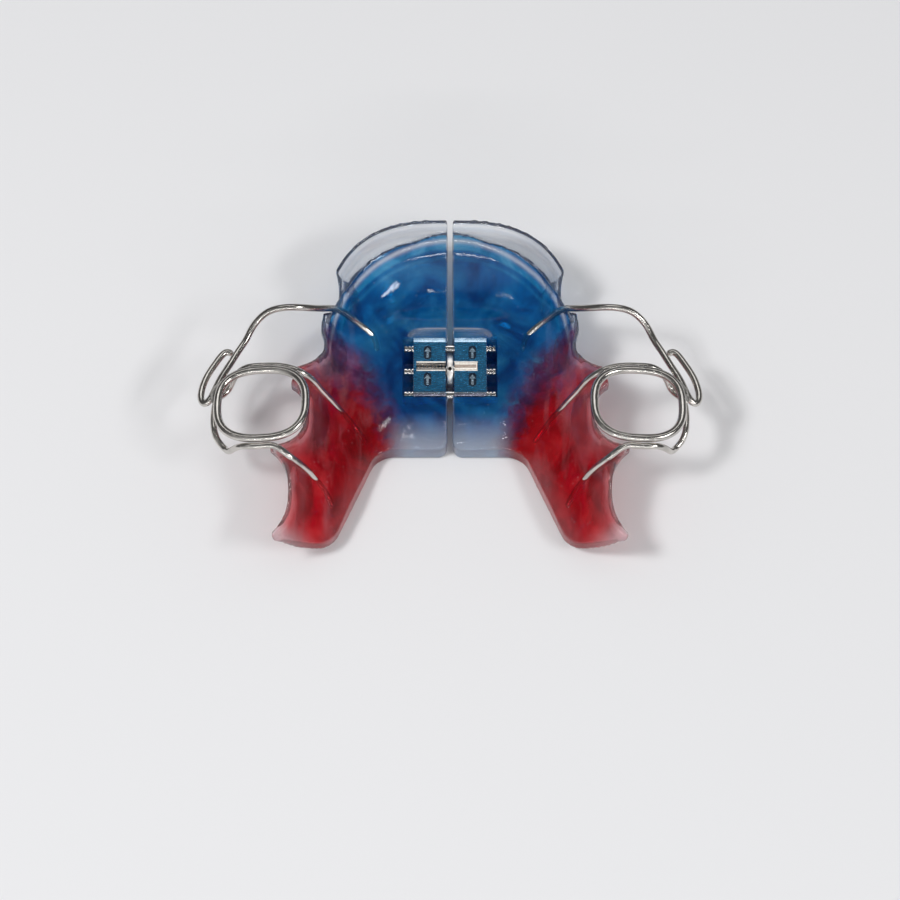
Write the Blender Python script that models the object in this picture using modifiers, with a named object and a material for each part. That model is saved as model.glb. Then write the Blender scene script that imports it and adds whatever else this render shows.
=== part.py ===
"""Removable palatal expander: two moulded plate halves, a midline expansion screw and their wirework.

Frame in metres: +X across, +Y to the front, +Z up to the tongue side. The origin lies on the midline,
halfway along the plate, level with the flat middle of the underside. The left half mirrors the right
half in x = 0, and both halves slide outward along X when the spindle turns.
"""

import math
from collections import namedtuple

import bmesh
import bpy
from mathutils import Vector

RIGHT = 1
LEFT = -1
SIDE_NAMES = {RIGHT: "right", LEFT: "left"}

# Plan of the plate: a superelliptic front that turns into sides which spread to the rear
PLATE_LENGTH = 0.0388
ARCH_HALF_WIDTH = 0.0143
ARCH_SPREAD = 0.19
ARCH_POWER = 2.8
ARCH_TURN_Y = 0.002
FRONT_TIP_DEPTH = 0.0020
REAR_TIP_DEPTH = 0.0034
WING_TIP_X = 0.0185
WING_INNER_X = 0.0128
WING_INNER_END_Y = -0.0180
WING_CORNER_RADIUS = 0.0036
THROAT_X = 0.0080
THROAT_RADIUS = 0.0028
REAR_EDGE_Y = -0.0062
SLIT_WIDTH = 0.00055
SLIT_CORNER_RADIUS = 0.0005

# Section of the plate: vault underneath, even wall, thick pad round the screw, lower front margin
PLATE_THICKNESS = 0.0021
WING_END_THICKNESS = 0.0011
WING_TAPER_LENGTH = 0.0060
VAULT_RISE = 0.0050
VAULT_FRONT_EXTRA = 0.0010
VAULT_FLAT_SHARE = 0.42
VAULT_POWER = 2.2
PAD_MARGIN = 0.0007
PAD_RUNOUT = 0.0050
MARGIN_STEP = 0.0007
MARGIN_FRONT = 0.0013
MARGIN_SIDE = 0.0005
MARGIN_POWER = 2.5
MARGIN_END_Y = 0.0066

# Scallops of the plate's edge, on the right half: centre, half sizes, roundness
Scallop = namedtuple("Scallop", "x y half_x half_y power")
CORNER_SCALLOP = Scallop(x=0.0159, y=0.0112, half_x=0.0035, half_y=0.0040, power=2.0)
ARM_SCALLOP = Scallop(x=0.0182, y=0.0039, half_x=0.0043, half_y=0.0032, power=2.2)
RING_SCALLOP = Scallop(x=0.0204, y=-0.0049, half_x=0.0046, half_y=0.0040, power=2.6)
REAR_SCALLOP = Scallop(x=0.0225, y=-0.0142, half_x=0.0051, half_y=0.0058, power=2.2)

# Expansion screw
SCREW_Y = 0.0033
HUB_RADIUS = 0.00183
HUB_WIDTH = 0.00066
HUB_SIDE_GAP = 0.00015
HUB_CHAMFER = 0.0001
KEY_HOLE_RADIUS = 0.00022
KEY_HOLE_TILT = math.radians(17)
THREAD_RADIUS = 0.00072
SPINDLE_END_RADIUS = 0.00043
PIN_RADIUS = 0.00045
PIN_TO_HUB = 0.00067
STUB_LENGTH = 0.0011
STUB_GROOVE = 0.00008
STUB_CHAMFER = 0.0001
RUNNING_FIT = 0.00005
HOUSING_DEPTH = 0.0036
HOUSING_HEIGHT = 0.0028
HOUSING_WALL = 0.0004
HOUSING_ROUNDING = 0.0006
SLOT_WIDTH = 0.0009
SLOT_END_WALL = 0.00035
INSERT_LENGTH = 0.0026
INSERT_FIT = 0.00004
INSERT_SUNK = 0.00005

# Pocket of the plate that holds one half body
POCKET_FLOOR = 0.0008
POCKET_FIT = 0.00008
HOUSING_PROUD = 0.00015
LEDGE_DEPTH = 0.0004
LEDGE_MARGIN = 0.0007

# Wirework
RING_WIRE_RADIUS = 0.00045
ARM_WIRE_RADIUS = 0.00038
CLASP_WIRE_RADIUS = 0.00035
RING_STANDOFF = 0.0002
RING_HEIGHT = 0.0103
RING_TILT = 0.0005
WIRE_GAP = 0.00008
WIRE_FIT = 0.00008
ARM_CREST_HEIGHT = 0.0111
BRIDGE_DROP = 0.0025
BRIDGE_STANDOFF = 0.0006
ARROW_DROP = 0.0034
LOOP_LENGTH = 0.0067
LOOP_REACH = 0.0015
BEAD_RADIUS = 0.00085
KNOT_ANGLE = 18

# Facets
GRID_SPACING = 0.0010
WIRE_SPACING = 0.0008
WIRE_BEVEL_RESOLUTION = 2
WIRE_SIDES = 4 + 2 * WIRE_BEVEL_RESOLUTION
ROUND_SIDES = 20
MERGE_DISTANCE = 1e-6

# Sizes that follow from the ones above
FRONT_Y = PLATE_LENGTH / 2
WING_END_Y = -PLATE_LENGTH / 2
PIN_OFFSET = HUB_RADIUS + PIN_TO_HUB + PIN_RADIUS
HOUSING_HALF_LENGTH = PIN_OFFSET + PIN_RADIUS + HOUSING_WALL
HOUSING_INNER_X = HUB_WIDTH / 2 + HUB_SIDE_GAP
HOUSING_OUTER_X = HOUSING_INNER_X + HOUSING_DEPTH
SHAFT_END_X = HOUSING_OUTER_X + STUB_LENGTH
SCREW_Z = POCKET_FLOOR + POCKET_FIT + max(HUB_RADIUS, HOUSING_HEIGHT / 2)
HOUSING_BOTTOM_Z = SCREW_Z - HOUSING_HEIGHT / 2
HOUSING_TOP_Z = SCREW_Z + HOUSING_HEIGHT / 2
PAD_HEIGHT = HOUSING_TOP_Z - HOUSING_PROUD
PAD_HALF_X = SHAFT_END_X + PAD_MARGIN
PAD_HALF_Y = HOUSING_HALF_LENGTH + LEDGE_MARGIN + PAD_MARGIN
RING_HALF_X = RING_SCALLOP.half_x + RING_STANDOFF
RING_HALF_Y = RING_SCALLOP.half_y + RING_STANDOFF
TOP_Z = ARM_CREST_HEIGHT + ARM_WIRE_RADIUS
CUT_MARGIN = 0.001


def clear_scene():
    for old in list(bpy.data.objects):
        bpy.data.objects.remove(old, do_unlink=True)


def new_collection(name):
    collection = bpy.data.collections.new(name)
    bpy.context.scene.collection.children.link(collection)
    return collection


def new_material(name, colour, metallic, roughness):
    material = bpy.data.materials.new(name)
    material.use_nodes = True
    shader = material.node_tree.nodes["Principled BSDF"]
    shader.inputs["Base Color"].default_value = (*colour, 1.0)
    shader.inputs["Metallic"].default_value = metallic
    shader.inputs["Roughness"].default_value = roughness
    return material


def new_object(name, mesh):
    item = bpy.data.objects.new(name, mesh)
    bpy.context.scene.collection.objects.link(item)
    return item


def object_from_bmesh(name, shape):
    mesh = bpy.data.meshes.new(name)
    bmesh.ops.recalc_face_normals(shape, faces=shape.faces)
    shape.to_mesh(mesh)
    shape.free()
    return new_object(name, mesh)


def move_to(item, collection):
    for holder in list(item.users_collection):
        holder.objects.unlink(item)
    collection.objects.link(item)


def as_part(item, material, parent):
    """Hands a finished piece to the product's collection, with its finish and its carrier."""
    move_to(item, bpy.data.collections["palatal_expander"])
    item.data.materials.clear()
    item.data.materials.append(material)
    item.data.shade_smooth()
    item.data.set_sharp_from_angle(angle=math.radians(35))
    item.parent = parent
    return item


def as_cutter(item):
    move_to(item, bpy.data.collections["cutters"])
    item.hide_render = True
    item.display_type = "WIRE"
    return item


def boolean(target, cutter, operation):
    modifier = target.modifiers.new(f"{operation.lower()} {cutter.name}", "BOOLEAN")
    modifier.operation = operation
    modifier.solver = "EXACT"
    modifier.object = cutter


def cut(target, cutter):
    boolean(target, as_cutter(cutter), "DIFFERENCE")


def keep(target, cutter):
    boolean(target, as_cutter(cutter), "INTERSECT")


def mesh_from_curve(item):
    """Turns a curve object into a closed mesh object in the same place."""
    depsgraph = bpy.context.evaluated_depsgraph_get()
    mesh = bpy.data.meshes.new_from_object(item.evaluated_get(depsgraph))
    mesh.name = item.name
    shape = bmesh.new()
    shape.from_mesh(mesh)
    bmesh.ops.remove_doubles(shape, verts=shape.verts, dist=MERGE_DISTANCE)
    bmesh.ops.recalc_face_normals(shape, faces=shape.faces)
    shape.to_mesh(mesh)
    shape.free()
    name = item.name
    place = item.matrix_world.copy()
    bpy.data.objects.remove(item, do_unlink=True)
    solid = new_object(name, mesh)
    solid.matrix_world = place
    return solid


def poly_curve(name, points, cyclic, dimensions):
    curve = bpy.data.curves.new(name, "CURVE")
    curve.dimensions = dimensions
    spline = curve.splines.new("POLY")
    spline.points.add(len(points) - 1)
    for knot, point in zip(spline.points, points):
        knot.co = (*point, 1.0)
    spline.use_cyclic_u = cyclic
    return curve


def wire(name, points, radius, cyclic=False):
    curve = poly_curve(name, points, cyclic, "3D")
    curve.bevel_depth = radius
    curve.bevel_resolution = WIRE_BEVEL_RESOLUTION
    curve.use_fill_caps = not cyclic
    return mesh_from_curve(new_object(name, curve))


def extruded(name, outline, thickness):
    """Flat outline in XY, thickened evenly about z = 0."""
    curve = poly_curve(name, [(x, y, 0.0) for x, y in outline], True, "2D")
    curve.fill_mode = "BOTH"
    curve.extrude = thickness / 2
    return mesh_from_curve(new_object(name, curve))


def prism(name, outline, bottom, top):
    solid = extruded(name, outline, top - bottom)
    solid.location.z = (bottom + top) / 2
    return solid


def box(name, low, high):
    low = Vector(low)
    high = Vector(high)
    shape = bmesh.new()
    bmesh.ops.create_cube(shape, size=1.0)
    bmesh.ops.scale(shape, vec=high - low, verts=shape.verts)
    solid = object_from_bmesh(name, shape)
    solid.location = (low + high) / 2
    return solid


def sided_box(name, side, low, high):
    """Box given for the right half, placed on either side."""
    ends = sorted((side * low[0], side * high[0]))
    return box(name, (ends[0], low[1], low[2]), (ends[1], high[1], high[2]))


def cylinder(name, radius, length, sides):
    shape = bmesh.new()
    bmesh.ops.create_cone(shape, cap_ends=True, segments=sides, radius1=radius, radius2=radius, depth=length)
    return object_from_bmesh(name, shape)


def turned(name, profile, sides):
    """Solid of revolution about local Z, from (radius, height) points that run top to bottom."""
    shape = bmesh.new()
    vertices = [shape.verts.new((radius, 0.0, height)) for radius, height in profile]
    for start, end in zip(vertices, vertices[1:]):
        shape.edges.new((start, end))
    mesh = bpy.data.meshes.new(name)
    shape.to_mesh(mesh)
    shape.free()
    item = new_object(name, mesh)
    screw = item.modifiers.new("turn", "SCREW")
    screw.axis = "Z"
    screw.steps = sides
    screw.render_steps = sides
    screw.use_merge_vertices = True
    screw.merge_threshold = MERGE_DISTANCE
    return item


def bore_radius(shaft_radius, fit, sides):
    """Radius of a faceted hole whose flats keep the fit to the shaft."""
    return (shaft_radius + fit) / math.cos(math.pi / sides)


def superellipse_point(x, y, half_x, half_y, power, degrees):
    cosine = math.cos(math.radians(degrees))
    sine = math.sin(math.radians(degrees))
    across = math.copysign(abs(cosine) ** (2 / power), cosine)
    along = math.copysign(abs(sine) ** (2 / power), sine)
    return x + half_x * across, y + half_y * along


def curve_point(before, start, end, after, share):
    """Point between start and end on the centripetal Catmull-Rom curve through four knots."""
    t_start = (start - before).length ** 0.5
    t_end = t_start + (end - start).length ** 0.5
    t_after = t_end + (after - end).length ** 0.5
    t = t_start + share * (t_end - t_start)
    first = before.lerp(start, t / t_start)
    middle = start.lerp(end, share)
    last = end.lerp(after, (t - t_end) / (t_after - t_end))
    near = first.lerp(middle, t / t_end)
    far = middle.lerp(last, (t - t_start) / (t_after - t_start))
    return near.lerp(far, share)


def smooth_path(knots, spacing):
    """Points about one spacing apart on a smooth curve through the knots."""
    knots = [Vector(knot) for knot in knots]
    padded = [2 * knots[0] - knots[1], *knots, 2 * knots[-1] - knots[-2]]
    path = []
    for before, start, end, after in zip(padded, padded[1:], padded[2:], padded[3:]):
        steps = max(1, round((end - start).length / spacing))
        for step in range(steps):
            path.append(curve_point(before, start, end, after, step / steps))
    path.append(knots[-1])
    return path


def rounded_corner(before, corner, after, radius, steps):
    """Arc of the given radius that replaces the corner of an outline."""
    to_before = (before - corner).normalized()
    to_after = (after - corner).normalized()
    half_angle = to_before.angle(to_after) / 2
    centre = corner + (to_before + to_after).normalized() * radius / math.sin(half_angle)
    start = (corner + to_before * radius / math.tan(half_angle) - centre).normalized()
    end = (corner + to_after * radius / math.tan(half_angle) - centre).normalized()
    return [centre + radius * start.slerp(end, step / steps) for step in range(steps + 1)]


def arch_half_width(y):
    return ARCH_HALF_WIDTH + ARCH_SPREAD * max(0.0, ARCH_TURN_Y - y)


def arch_reach(x, y):
    """0 in the middle of the vault and 1 along the rim of the arch."""
    across = abs(x) / arch_half_width(y)
    along = max(0.0, y - ARCH_TURN_Y) / (FRONT_Y - ARCH_TURN_Y)
    return (across ** ARCH_POWER + along ** ARCH_POWER) ** (1 / ARCH_POWER)


def vault_share(x, y):
    return max(0.0, min(arch_reach(x, y), 1.0) - VAULT_FLAT_SHARE) / (1 - VAULT_FLAT_SHARE)


def vault_rise(y):
    """Height of the underside along the rim, a little more towards the front."""
    along = max(0.0, y - ARCH_TURN_Y) / (FRONT_Y - ARCH_TURN_Y)
    return VAULT_RISE + VAULT_FRONT_EXTRA * along


def vault_height(x, y):
    """Underside of the plate: flat in the middle, rising ever more steeply to the rim."""
    return vault_rise(y) * vault_share(x, y) ** VAULT_POWER


def wall_thickness(y):
    """Even wall that thins out towards the end of the wing."""
    share = max(0.0, min((y - WING_END_Y) / WING_TAPER_LENGTH, 1.0))
    return WING_END_THICKNESS + (PLATE_THICKNESS - WING_END_THICKNESS) * share


def pad_share(x, y):
    """1 over the pocket of the screw, easing to 0 across the run-out."""
    beyond_x = max(0.0, abs(x) - PAD_HALF_X)
    beyond_y = max(0.0, abs(y - SCREW_Y) - PAD_HALF_Y)
    near = max(0.0, 1 - math.hypot(beyond_x, beyond_y) / PAD_RUNOUT)
    return near * near * (3 - 2 * near)


def tongue_height(x, y):
    """Tongue side of the plate: an even wall over the vault, with the pad round the screw."""
    run = ARCH_HALF_WIDTH * (1 - VAULT_FLAT_SHARE)
    slope = vault_rise(y) * VAULT_POWER * vault_share(x, y) ** (VAULT_POWER - 1) / run
    wall = vault_height(x, y) + wall_thickness(y) * math.hypot(1, slope)
    return wall + pad_share(x, y) * max(0.0, PAD_HEIGHT - wall)


def near(scallop, across, along):
    """Plan point near a scallop, counted in the scallop's half sizes from its centre."""
    return scallop.x + across * scallop.half_x, scallop.y + along * scallop.half_y


def in_plate(scallop, across, along):
    """Point halfway through the plate's wall."""
    x, y = near(scallop, across, along)
    return x, y, (vault_height(x, y) + tongue_height(x, y)) / 2


def over_plate(scallop, across, along, lift):
    """Point at the given height over the tongue side."""
    x, y = near(scallop, across, along)
    return x, y, tongue_height(x, y) + lift


def grid_solid(name, side, low, high, bottom, top):
    """Block on a rectangle of the right half, between two height functions, placed on either side."""
    columns = math.ceil((high[0] - low[0]) / GRID_SPACING)
    rows = math.ceil((high[1] - low[1]) / GRID_SPACING)
    shape = bmesh.new()
    bmesh.ops.create_grid(shape, x_segments=columns, y_segments=rows, size=0.5)
    bmesh.ops.scale(shape, vec=(high[0] - low[0], high[1] - low[1], 1.0), verts=shape.verts)
    middle = ((low[0] + high[0]) / 2, (low[1] + high[1]) / 2, 0.0)
    bmesh.ops.translate(shape, vec=middle, verts=shape.verts)
    raised = bmesh.ops.extrude_face_region(shape, geom=shape.faces[:])["geom"]
    upper = {item for item in raised if isinstance(item, bmesh.types.BMVert)}
    for vertex in shape.verts:
        surface = top if vertex in upper else bottom
        vertex.co.z = surface(vertex.co.x, vertex.co.y)
        vertex.co.x *= side
    bmesh.ops.triangulate(shape, faces=shape.faces)
    return object_from_bmesh(name, shape)


def arch_outline(half_width, front, power, steps):
    """Front of an arch in plan, from the midline to where its side turns rearward."""
    depth = front - ARCH_TURN_Y
    angles = [90 - 90 * step / steps for step in range(1, steps + 1)]
    return [superellipse_point(0.0, ARCH_TURN_Y, half_width, depth, power, angle) for angle in angles]


def plate_outline():
    """Plan outline of the right half, before the scallops are cut out of it."""
    slit_x = SLIT_WIDTH / 2
    corners = [
        (slit_x, FRONT_Y),
        (slit_x, REAR_EDGE_Y),
        (THROAT_X, REAR_EDGE_Y),
        (WING_INNER_X, WING_INNER_END_Y),
        (WING_TIP_X, WING_END_Y),
    ]
    radii = [SLIT_CORNER_RADIUS, THROAT_RADIUS, WING_CORNER_RADIUS]
    corners = [Vector(corner) for corner in corners]
    outline = [corners[0]]
    for before, corner, after, radius in zip(corners, corners[1:], corners[2:], radii):
        outline += rounded_corner(before, corner, after, radius, steps=6)
    outline.append(corners[-1])
    outline.append((REAR_SCALLOP.x, WING_END_Y))
    side_end = REAR_SCALLOP.y
    side_start = ARM_SCALLOP.y - ARM_SCALLOP.half_y / 3
    outline.append((arch_half_width(side_end) + REAR_TIP_DEPTH, side_end))
    outline.append((arch_half_width(side_start) + FRONT_TIP_DEPTH, side_start))
    rim = [point for point in arch_outline(ARCH_HALF_WIDTH, FRONT_Y, ARCH_POWER, steps=18)
           if point[1] > side_start]
    outline.append((ARCH_HALF_WIDTH, side_start))
    outline += reversed([point for point in rim if point[0] > 2 * slit_x])
    return outline


def sided(side, outline):
    return [(side * point[0], point[1]) for point in outline]


def scallop_cutter(name, side, scallop):
    angles = range(0, 360, 9)
    outline = [superellipse_point(*scallop, angle) for angle in angles]
    return prism(name, sided(side, outline), -CUT_MARGIN, TOP_Z)


def margin_cutter(name, side):
    """Everything above the lowered front margin, outside the border of the thick middle."""
    low = (-CUT_MARGIN, MARGIN_END_Y)
    high = (ARCH_HALF_WIDTH + CUT_MARGIN, FRONT_Y + CUT_MARGIN)
    above = grid_solid(name, side, low, high,
                       lambda x, y: tongue_height(x, y) - MARGIN_STEP,
                       lambda x, y: TOP_Z)
    half_width = ARCH_HALF_WIDTH - MARGIN_SIDE
    border = arch_outline(half_width, FRONT_Y - MARGIN_FRONT, MARGIN_POWER, steps=18)
    middle = [(-2 * CUT_MARGIN, ARCH_TURN_Y), (-2 * CUT_MARGIN, FRONT_Y - MARGIN_FRONT), *border]
    cut(above, prism(f"{name}_middle", sided(side, middle), 0.0, TOP_Z + CUT_MARGIN))
    return above


def pocket_cutters(name, side):
    """Pocket for one half body and its shaft ends, relief for the hub, and the ledge round the mouth."""
    pocket_x = SHAFT_END_X + POCKET_FIT
    pocket_y = HOUSING_HALF_LENGTH + POCKET_FIT
    pocket = sided_box(f"{name}_pocket", side,
                       (-CUT_MARGIN, SCREW_Y - pocket_y, HOUSING_BOTTOM_Z - POCKET_FIT),
                       (pocket_x, SCREW_Y + pocket_y, TOP_Z))
    relief_radius = bore_radius(HUB_RADIUS, POCKET_FIT, ROUND_SIDES)
    relief = cylinder(f"{name}_hub_relief", relief_radius, 2 * HOUSING_INNER_X, ROUND_SIDES)
    relief.location = (0.0, SCREW_Y, SCREW_Z)
    relief.rotation_euler = (0.0, math.pi / 2, 0.0)
    ledge_x = HOUSING_OUTER_X + LEDGE_MARGIN / 2
    ledge_y = SCREW_Y + pocket_y + LEDGE_MARGIN
    outline = [
        (-CUT_MARGIN, SCREW_Y),
        (ledge_x, SCREW_Y),
        (ledge_x, ledge_y - LEDGE_MARGIN),
        (ledge_x - LEDGE_MARGIN, ledge_y),
        (-CUT_MARGIN, ledge_y),
    ]
    ledge = prism(f"{name}_ledge", sided(side, outline), PAD_HEIGHT - LEDGE_DEPTH, TOP_Z)
    return pocket, relief, ledge


def ring_height(x):
    return RING_HEIGHT - RING_TILT * (x - RING_SCALLOP.x) / RING_HALF_X


def beside_ring(degrees, out, up):
    """Point beside the ring's centre line, further out in plan and higher by the given amounts."""
    x, y = superellipse_point(RING_SCALLOP.x, RING_SCALLOP.y, RING_HALF_X + out, RING_HALF_Y + out,
                              RING_SCALLOP.power, degrees)
    return x, y, ring_height(x) + up


def ring_path():
    return [beside_ring(angle, 0.0, 0.0) for angle in range(0, 360, 9)]


def knot_place():
    """Where the front arm touches the ring from outside and below."""
    distance = RING_WIRE_RADIUS + ARM_WIRE_RADIUS + WIRE_GAP
    return beside_ring(KNOT_ANGLE, 0.77 * distance, -0.64 * distance)


def front_arm_path():
    """From the tail in the plate over the front of the arm scallop, down to the ring and round the loop."""
    arm = ARM_SCALLOP
    knot = Vector(knot_place())
    crest = ARM_CREST_HEIGHT
    drop = crest - knot.z
    loop_z = knot.z - 2 * ARM_WIRE_RADIUS
    tail = [
        in_plate(arm, -2.35, 0.81),
        in_plate(arm, -2.23, 1.19),
        over_plate(arm, -1.93, 1.44, -0.8 * ARM_WIRE_RADIUS),
        over_plate(arm, -1.63, 1.53, 0.5 * ARM_WIRE_RADIUS),
        over_plate(arm, -1.30, 1.47, 1.6 * ARM_WIRE_RADIUS),
    ]
    crossing = [
        (*near(arm, -0.84, 1.13), crest - 0.81 * drop),
        (*near(arm, -0.40, 0.94), crest - 0.16 * drop),
        (*near(arm, 0.0, 0.88), crest),
        (*near(arm, 0.42, 0.79), crest - 0.22 * drop),
        (*near(arm, 0.79, 0.44), crest - 0.76 * drop),
        (*near(arm, 0.98, -0.03), crest - 1.13 * drop),
    ]
    outer_run = [
        knot + LOOP_LENGTH * Vector((-0.39, 0.84, -0.045)),
        knot + LOOP_LENGTH * Vector((-0.24, 0.55, -0.045)),
        knot + LOOP_LENGTH * Vector((-0.10, 0.27, -0.015)),
        knot,
        knot + LOOP_LENGTH * Vector((0.06, -0.12, -0.045)),
    ]
    loop_shares = [
        (0.72, -0.18),
        (1.00, -0.06),
        (0.75, 0.28),
        (0.08, 0.58),
        (-0.54, 0.80),
        (-0.85, 0.86),
        (-1.02, 0.81),
    ]
    loop = [(knot.x + across * LOOP_REACH, knot.y + along * LOOP_LENGTH, loop_z)
            for across, along in loop_shares]
    knots = [*tail, *crossing, *outer_run, *loop]
    return smooth_path(knots, WIRE_SPACING)


def clasp_path():
    """From one tail in the plate along the front of the ring, over the outer bridge and back behind it."""
    ring = RING_SCALLOP
    beside = RING_WIRE_RADIUS + CLASP_WIRE_RADIUS + WIRE_GAP
    out = 0.87 * beside
    down = -0.5 * beside
    front_tail = [
        in_plate(ring, -2.35, -0.02),
        in_plate(ring, -2.07, 0.35),
        in_plate(ring, -1.76, 0.65),
        over_plate(ring, -1.43, 0.80, 0.0),
        over_plate(ring, -1.13, 0.95, 2 * CLASP_WIRE_RADIUS),
    ]
    front_arm = [beside_ring(angle, out, down) for angle in (126, 108, 90, 76)]
    front_arrow = [
        beside_ring(66, out, -0.35 * ARROW_DROP),
        beside_ring(57, out, -0.75 * ARROW_DROP),
        beside_ring(48, 0.8 * BRIDGE_STANDOFF, -ARROW_DROP),
        beside_ring(38, 0.8 * BRIDGE_STANDOFF, -0.95 * ARROW_DROP),
        beside_ring(28, BRIDGE_STANDOFF, -1.2 * BRIDGE_DROP),
    ]
    bridge = [beside_ring(angle, BRIDGE_STANDOFF, -BRIDGE_DROP) for angle in (18, 0, -18)]
    rear_arrow = [
        beside_ring(-28, BRIDGE_STANDOFF, -1.2 * BRIDGE_DROP),
        beside_ring(-38, 0.8 * BRIDGE_STANDOFF, -0.95 * ARROW_DROP),
        beside_ring(-48, 0.8 * BRIDGE_STANDOFF, -ARROW_DROP),
        beside_ring(-57, out, -0.75 * ARROW_DROP),
        beside_ring(-66, out, -0.35 * ARROW_DROP),
    ]
    rear_arm = [beside_ring(angle, out, down) for angle in (-76, -90, -108)]
    rear_tail = [
        over_plate(ring, -0.72, -1.50, 2 * CLASP_WIRE_RADIUS),
        over_plate(ring, -1.09, -1.60, 1.1 * CLASP_WIRE_RADIUS),
        in_plate(ring, -1.41, -1.80),
        in_plate(ring, -1.59, -2.15),
    ]
    knots = front_tail + front_arm + front_arrow + bridge + rear_arrow + rear_arm + rear_tail
    return smooth_path(knots, WIRE_SPACING)


def sided_path(side, path):
    return [(side * point[0], point[1], point[2]) for point in path]


def channel_cutter(name, side, path, radius):
    """Hole for a buried wire, a fit wider than the wire and a fit longer at each tail."""
    start = Vector(path[0])
    end = Vector(path[-1])
    start_run = (start - Vector(path[1])).normalized()
    end_run = (end - Vector(path[-2])).normalized()
    longer = [start + 2 * WIRE_FIT * start_run, *path[1:-1], end + 2 * WIRE_FIT * end_run]
    return wire(name, sided_path(side, longer), bore_radius(radius, WIRE_FIT, WIRE_SIDES))


def build_plate(side, material, parent):
    name = f"plate_{SIDE_NAMES[side]}"
    low = (-CUT_MARGIN, WING_END_Y - CUT_MARGIN)
    high = (REAR_SCALLOP.x + CUT_MARGIN, FRONT_Y + CUT_MARGIN)
    plate = grid_solid(name, side, low, high, vault_height, tongue_height)
    keep(plate, prism(f"{name}_outline", sided(side, plate_outline()), -CUT_MARGIN, TOP_Z))
    scallops = [CORNER_SCALLOP, ARM_SCALLOP, RING_SCALLOP, REAR_SCALLOP]
    for number, scallop in enumerate(scallops, start=1):
        cut(plate, scallop_cutter(f"{name}_scallop_{number}", side, scallop))
    cut(plate, margin_cutter(f"{name}_margin", side))
    for cutter in pocket_cutters(name, side):
        cut(plate, cutter)
    cut(plate, channel_cutter(f"{name}_arm_channel", side, front_arm_path(), ARM_WIRE_RADIUS))
    cut(plate, channel_cutter(f"{name}_clasp_channel", side, clasp_path(), CLASP_WIRE_RADIUS))
    return as_part(plate, material, parent)


def housing_outline():
    """Rounded section of a half body, across the screw."""
    half_y = HOUSING_HALF_LENGTH
    half_z = HOUSING_HEIGHT / 2
    corners = [Vector(corner) for corner in
               ((-half_y, -half_z), (half_y, -half_z), (half_y, half_z), (-half_y, half_z))]
    outline = []
    for index, corner in enumerate(corners):
        before = corners[index - 1]
        after = corners[(index + 1) % len(corners)]
        outline += rounded_corner(before, corner, after, HOUSING_ROUNDING, steps=3)
    return outline


def bore_cutter(name, side, y, radius):
    length = HOUSING_DEPTH + 2 * CUT_MARGIN
    cutter = cylinder(name, bore_radius(radius, RUNNING_FIT, ROUND_SIDES), length, ROUND_SIDES)
    cutter.location = (side * (HOUSING_INNER_X + HOUSING_OUTER_X) / 2, y, SCREW_Z)
    cutter.rotation_euler = (0.0, math.pi / 2, 0.0)
    return cutter


def slot_end_x(side):
    """The left slot shows the thread along the whole half body, the right one holds the insert."""
    if side == RIGHT:
        return HOUSING_INNER_X + INSERT_LENGTH
    return HOUSING_OUTER_X - SLOT_END_WALL


def build_housing(side, material, parent):
    name = f"screw_housing_{SIDE_NAMES[side]}"
    housing = extruded(name, housing_outline(), HOUSING_DEPTH)
    housing.location = (side * (HOUSING_INNER_X + HOUSING_OUTER_X) / 2, SCREW_Y, SCREW_Z)
    housing.rotation_euler = (math.pi / 2, 0.0, math.pi / 2)
    cut(housing, bore_cutter(f"{name}_front_bore", side, SCREW_Y + PIN_OFFSET, PIN_RADIUS))
    cut(housing, bore_cutter(f"{name}_rear_bore", side, SCREW_Y - PIN_OFFSET, PIN_RADIUS))
    cut(housing, bore_cutter(f"{name}_thread_bore", side, SCREW_Y, THREAD_RADIUS))
    cut(housing, sided_box(f"{name}_slot", side,
                           (HOUSING_INNER_X - CUT_MARGIN, SCREW_Y - SLOT_WIDTH / 2, SCREW_Z),
                           (slot_end_x(side), SCREW_Y + SLOT_WIDTH / 2, HOUSING_TOP_Z + CUT_MARGIN)))
    return as_part(housing, material, parent)


def build_insert(material, parent):
    """Smooth block in the right slot, saddled on the thread to brake it."""
    half_width = SLOT_WIDTH / 2 - INSERT_FIT
    insert = sided_box("friction_insert", RIGHT,
                       (HOUSING_INNER_X + INSERT_FIT, SCREW_Y - half_width, SCREW_Z),
                       (slot_end_x(RIGHT) - INSERT_FIT, SCREW_Y + half_width, HOUSING_TOP_Z - INSERT_SUNK))
    saddle_radius = bore_radius(THREAD_RADIUS, RUNNING_FIT, ROUND_SIDES) + INSERT_FIT
    saddle = cylinder("friction_insert_saddle", saddle_radius, HOUSING_DEPTH + 2 * CUT_MARGIN, ROUND_SIDES)
    saddle.location = ((HOUSING_INNER_X + HOUSING_OUTER_X) / 2, SCREW_Y, SCREW_Z)
    saddle.rotation_euler = (0.0, math.pi / 2, 0.0)
    cut(insert, saddle)
    return as_part(insert, material, parent)


def ringed_end(radius, start, end):
    """Shaft end with two grooves: (radius, height) points from its tip at the start down to the end."""
    run = start - end
    points = [(0.0, start), (radius - STUB_CHAMFER, start), (radius, start - STUB_CHAMFER)]
    for share in (0.4, 0.75):
        middle = start - share * run
        points += [
            (radius, middle + STUB_GROOVE),
            (radius - STUB_GROOVE, middle),
            (radius, middle - STUB_GROOVE),
        ]
    return points


def mirrored_profile(upper):
    """Profile of a shaft whose lower half mirrors the given upper half."""
    return upper + [(radius, -height) for radius, height in reversed(upper)]


def build_pin(name, offset, material, parent):
    profile = mirrored_profile(ringed_end(PIN_RADIUS, SHAFT_END_X, HOUSING_OUTER_X))
    pin = turned(name, profile, ROUND_SIDES)
    pin.location = (0.0, offset, 0.0)
    pin.rotation_euler = (0.0, math.pi / 2, 0.0)
    return as_part(pin, material, parent)


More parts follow.
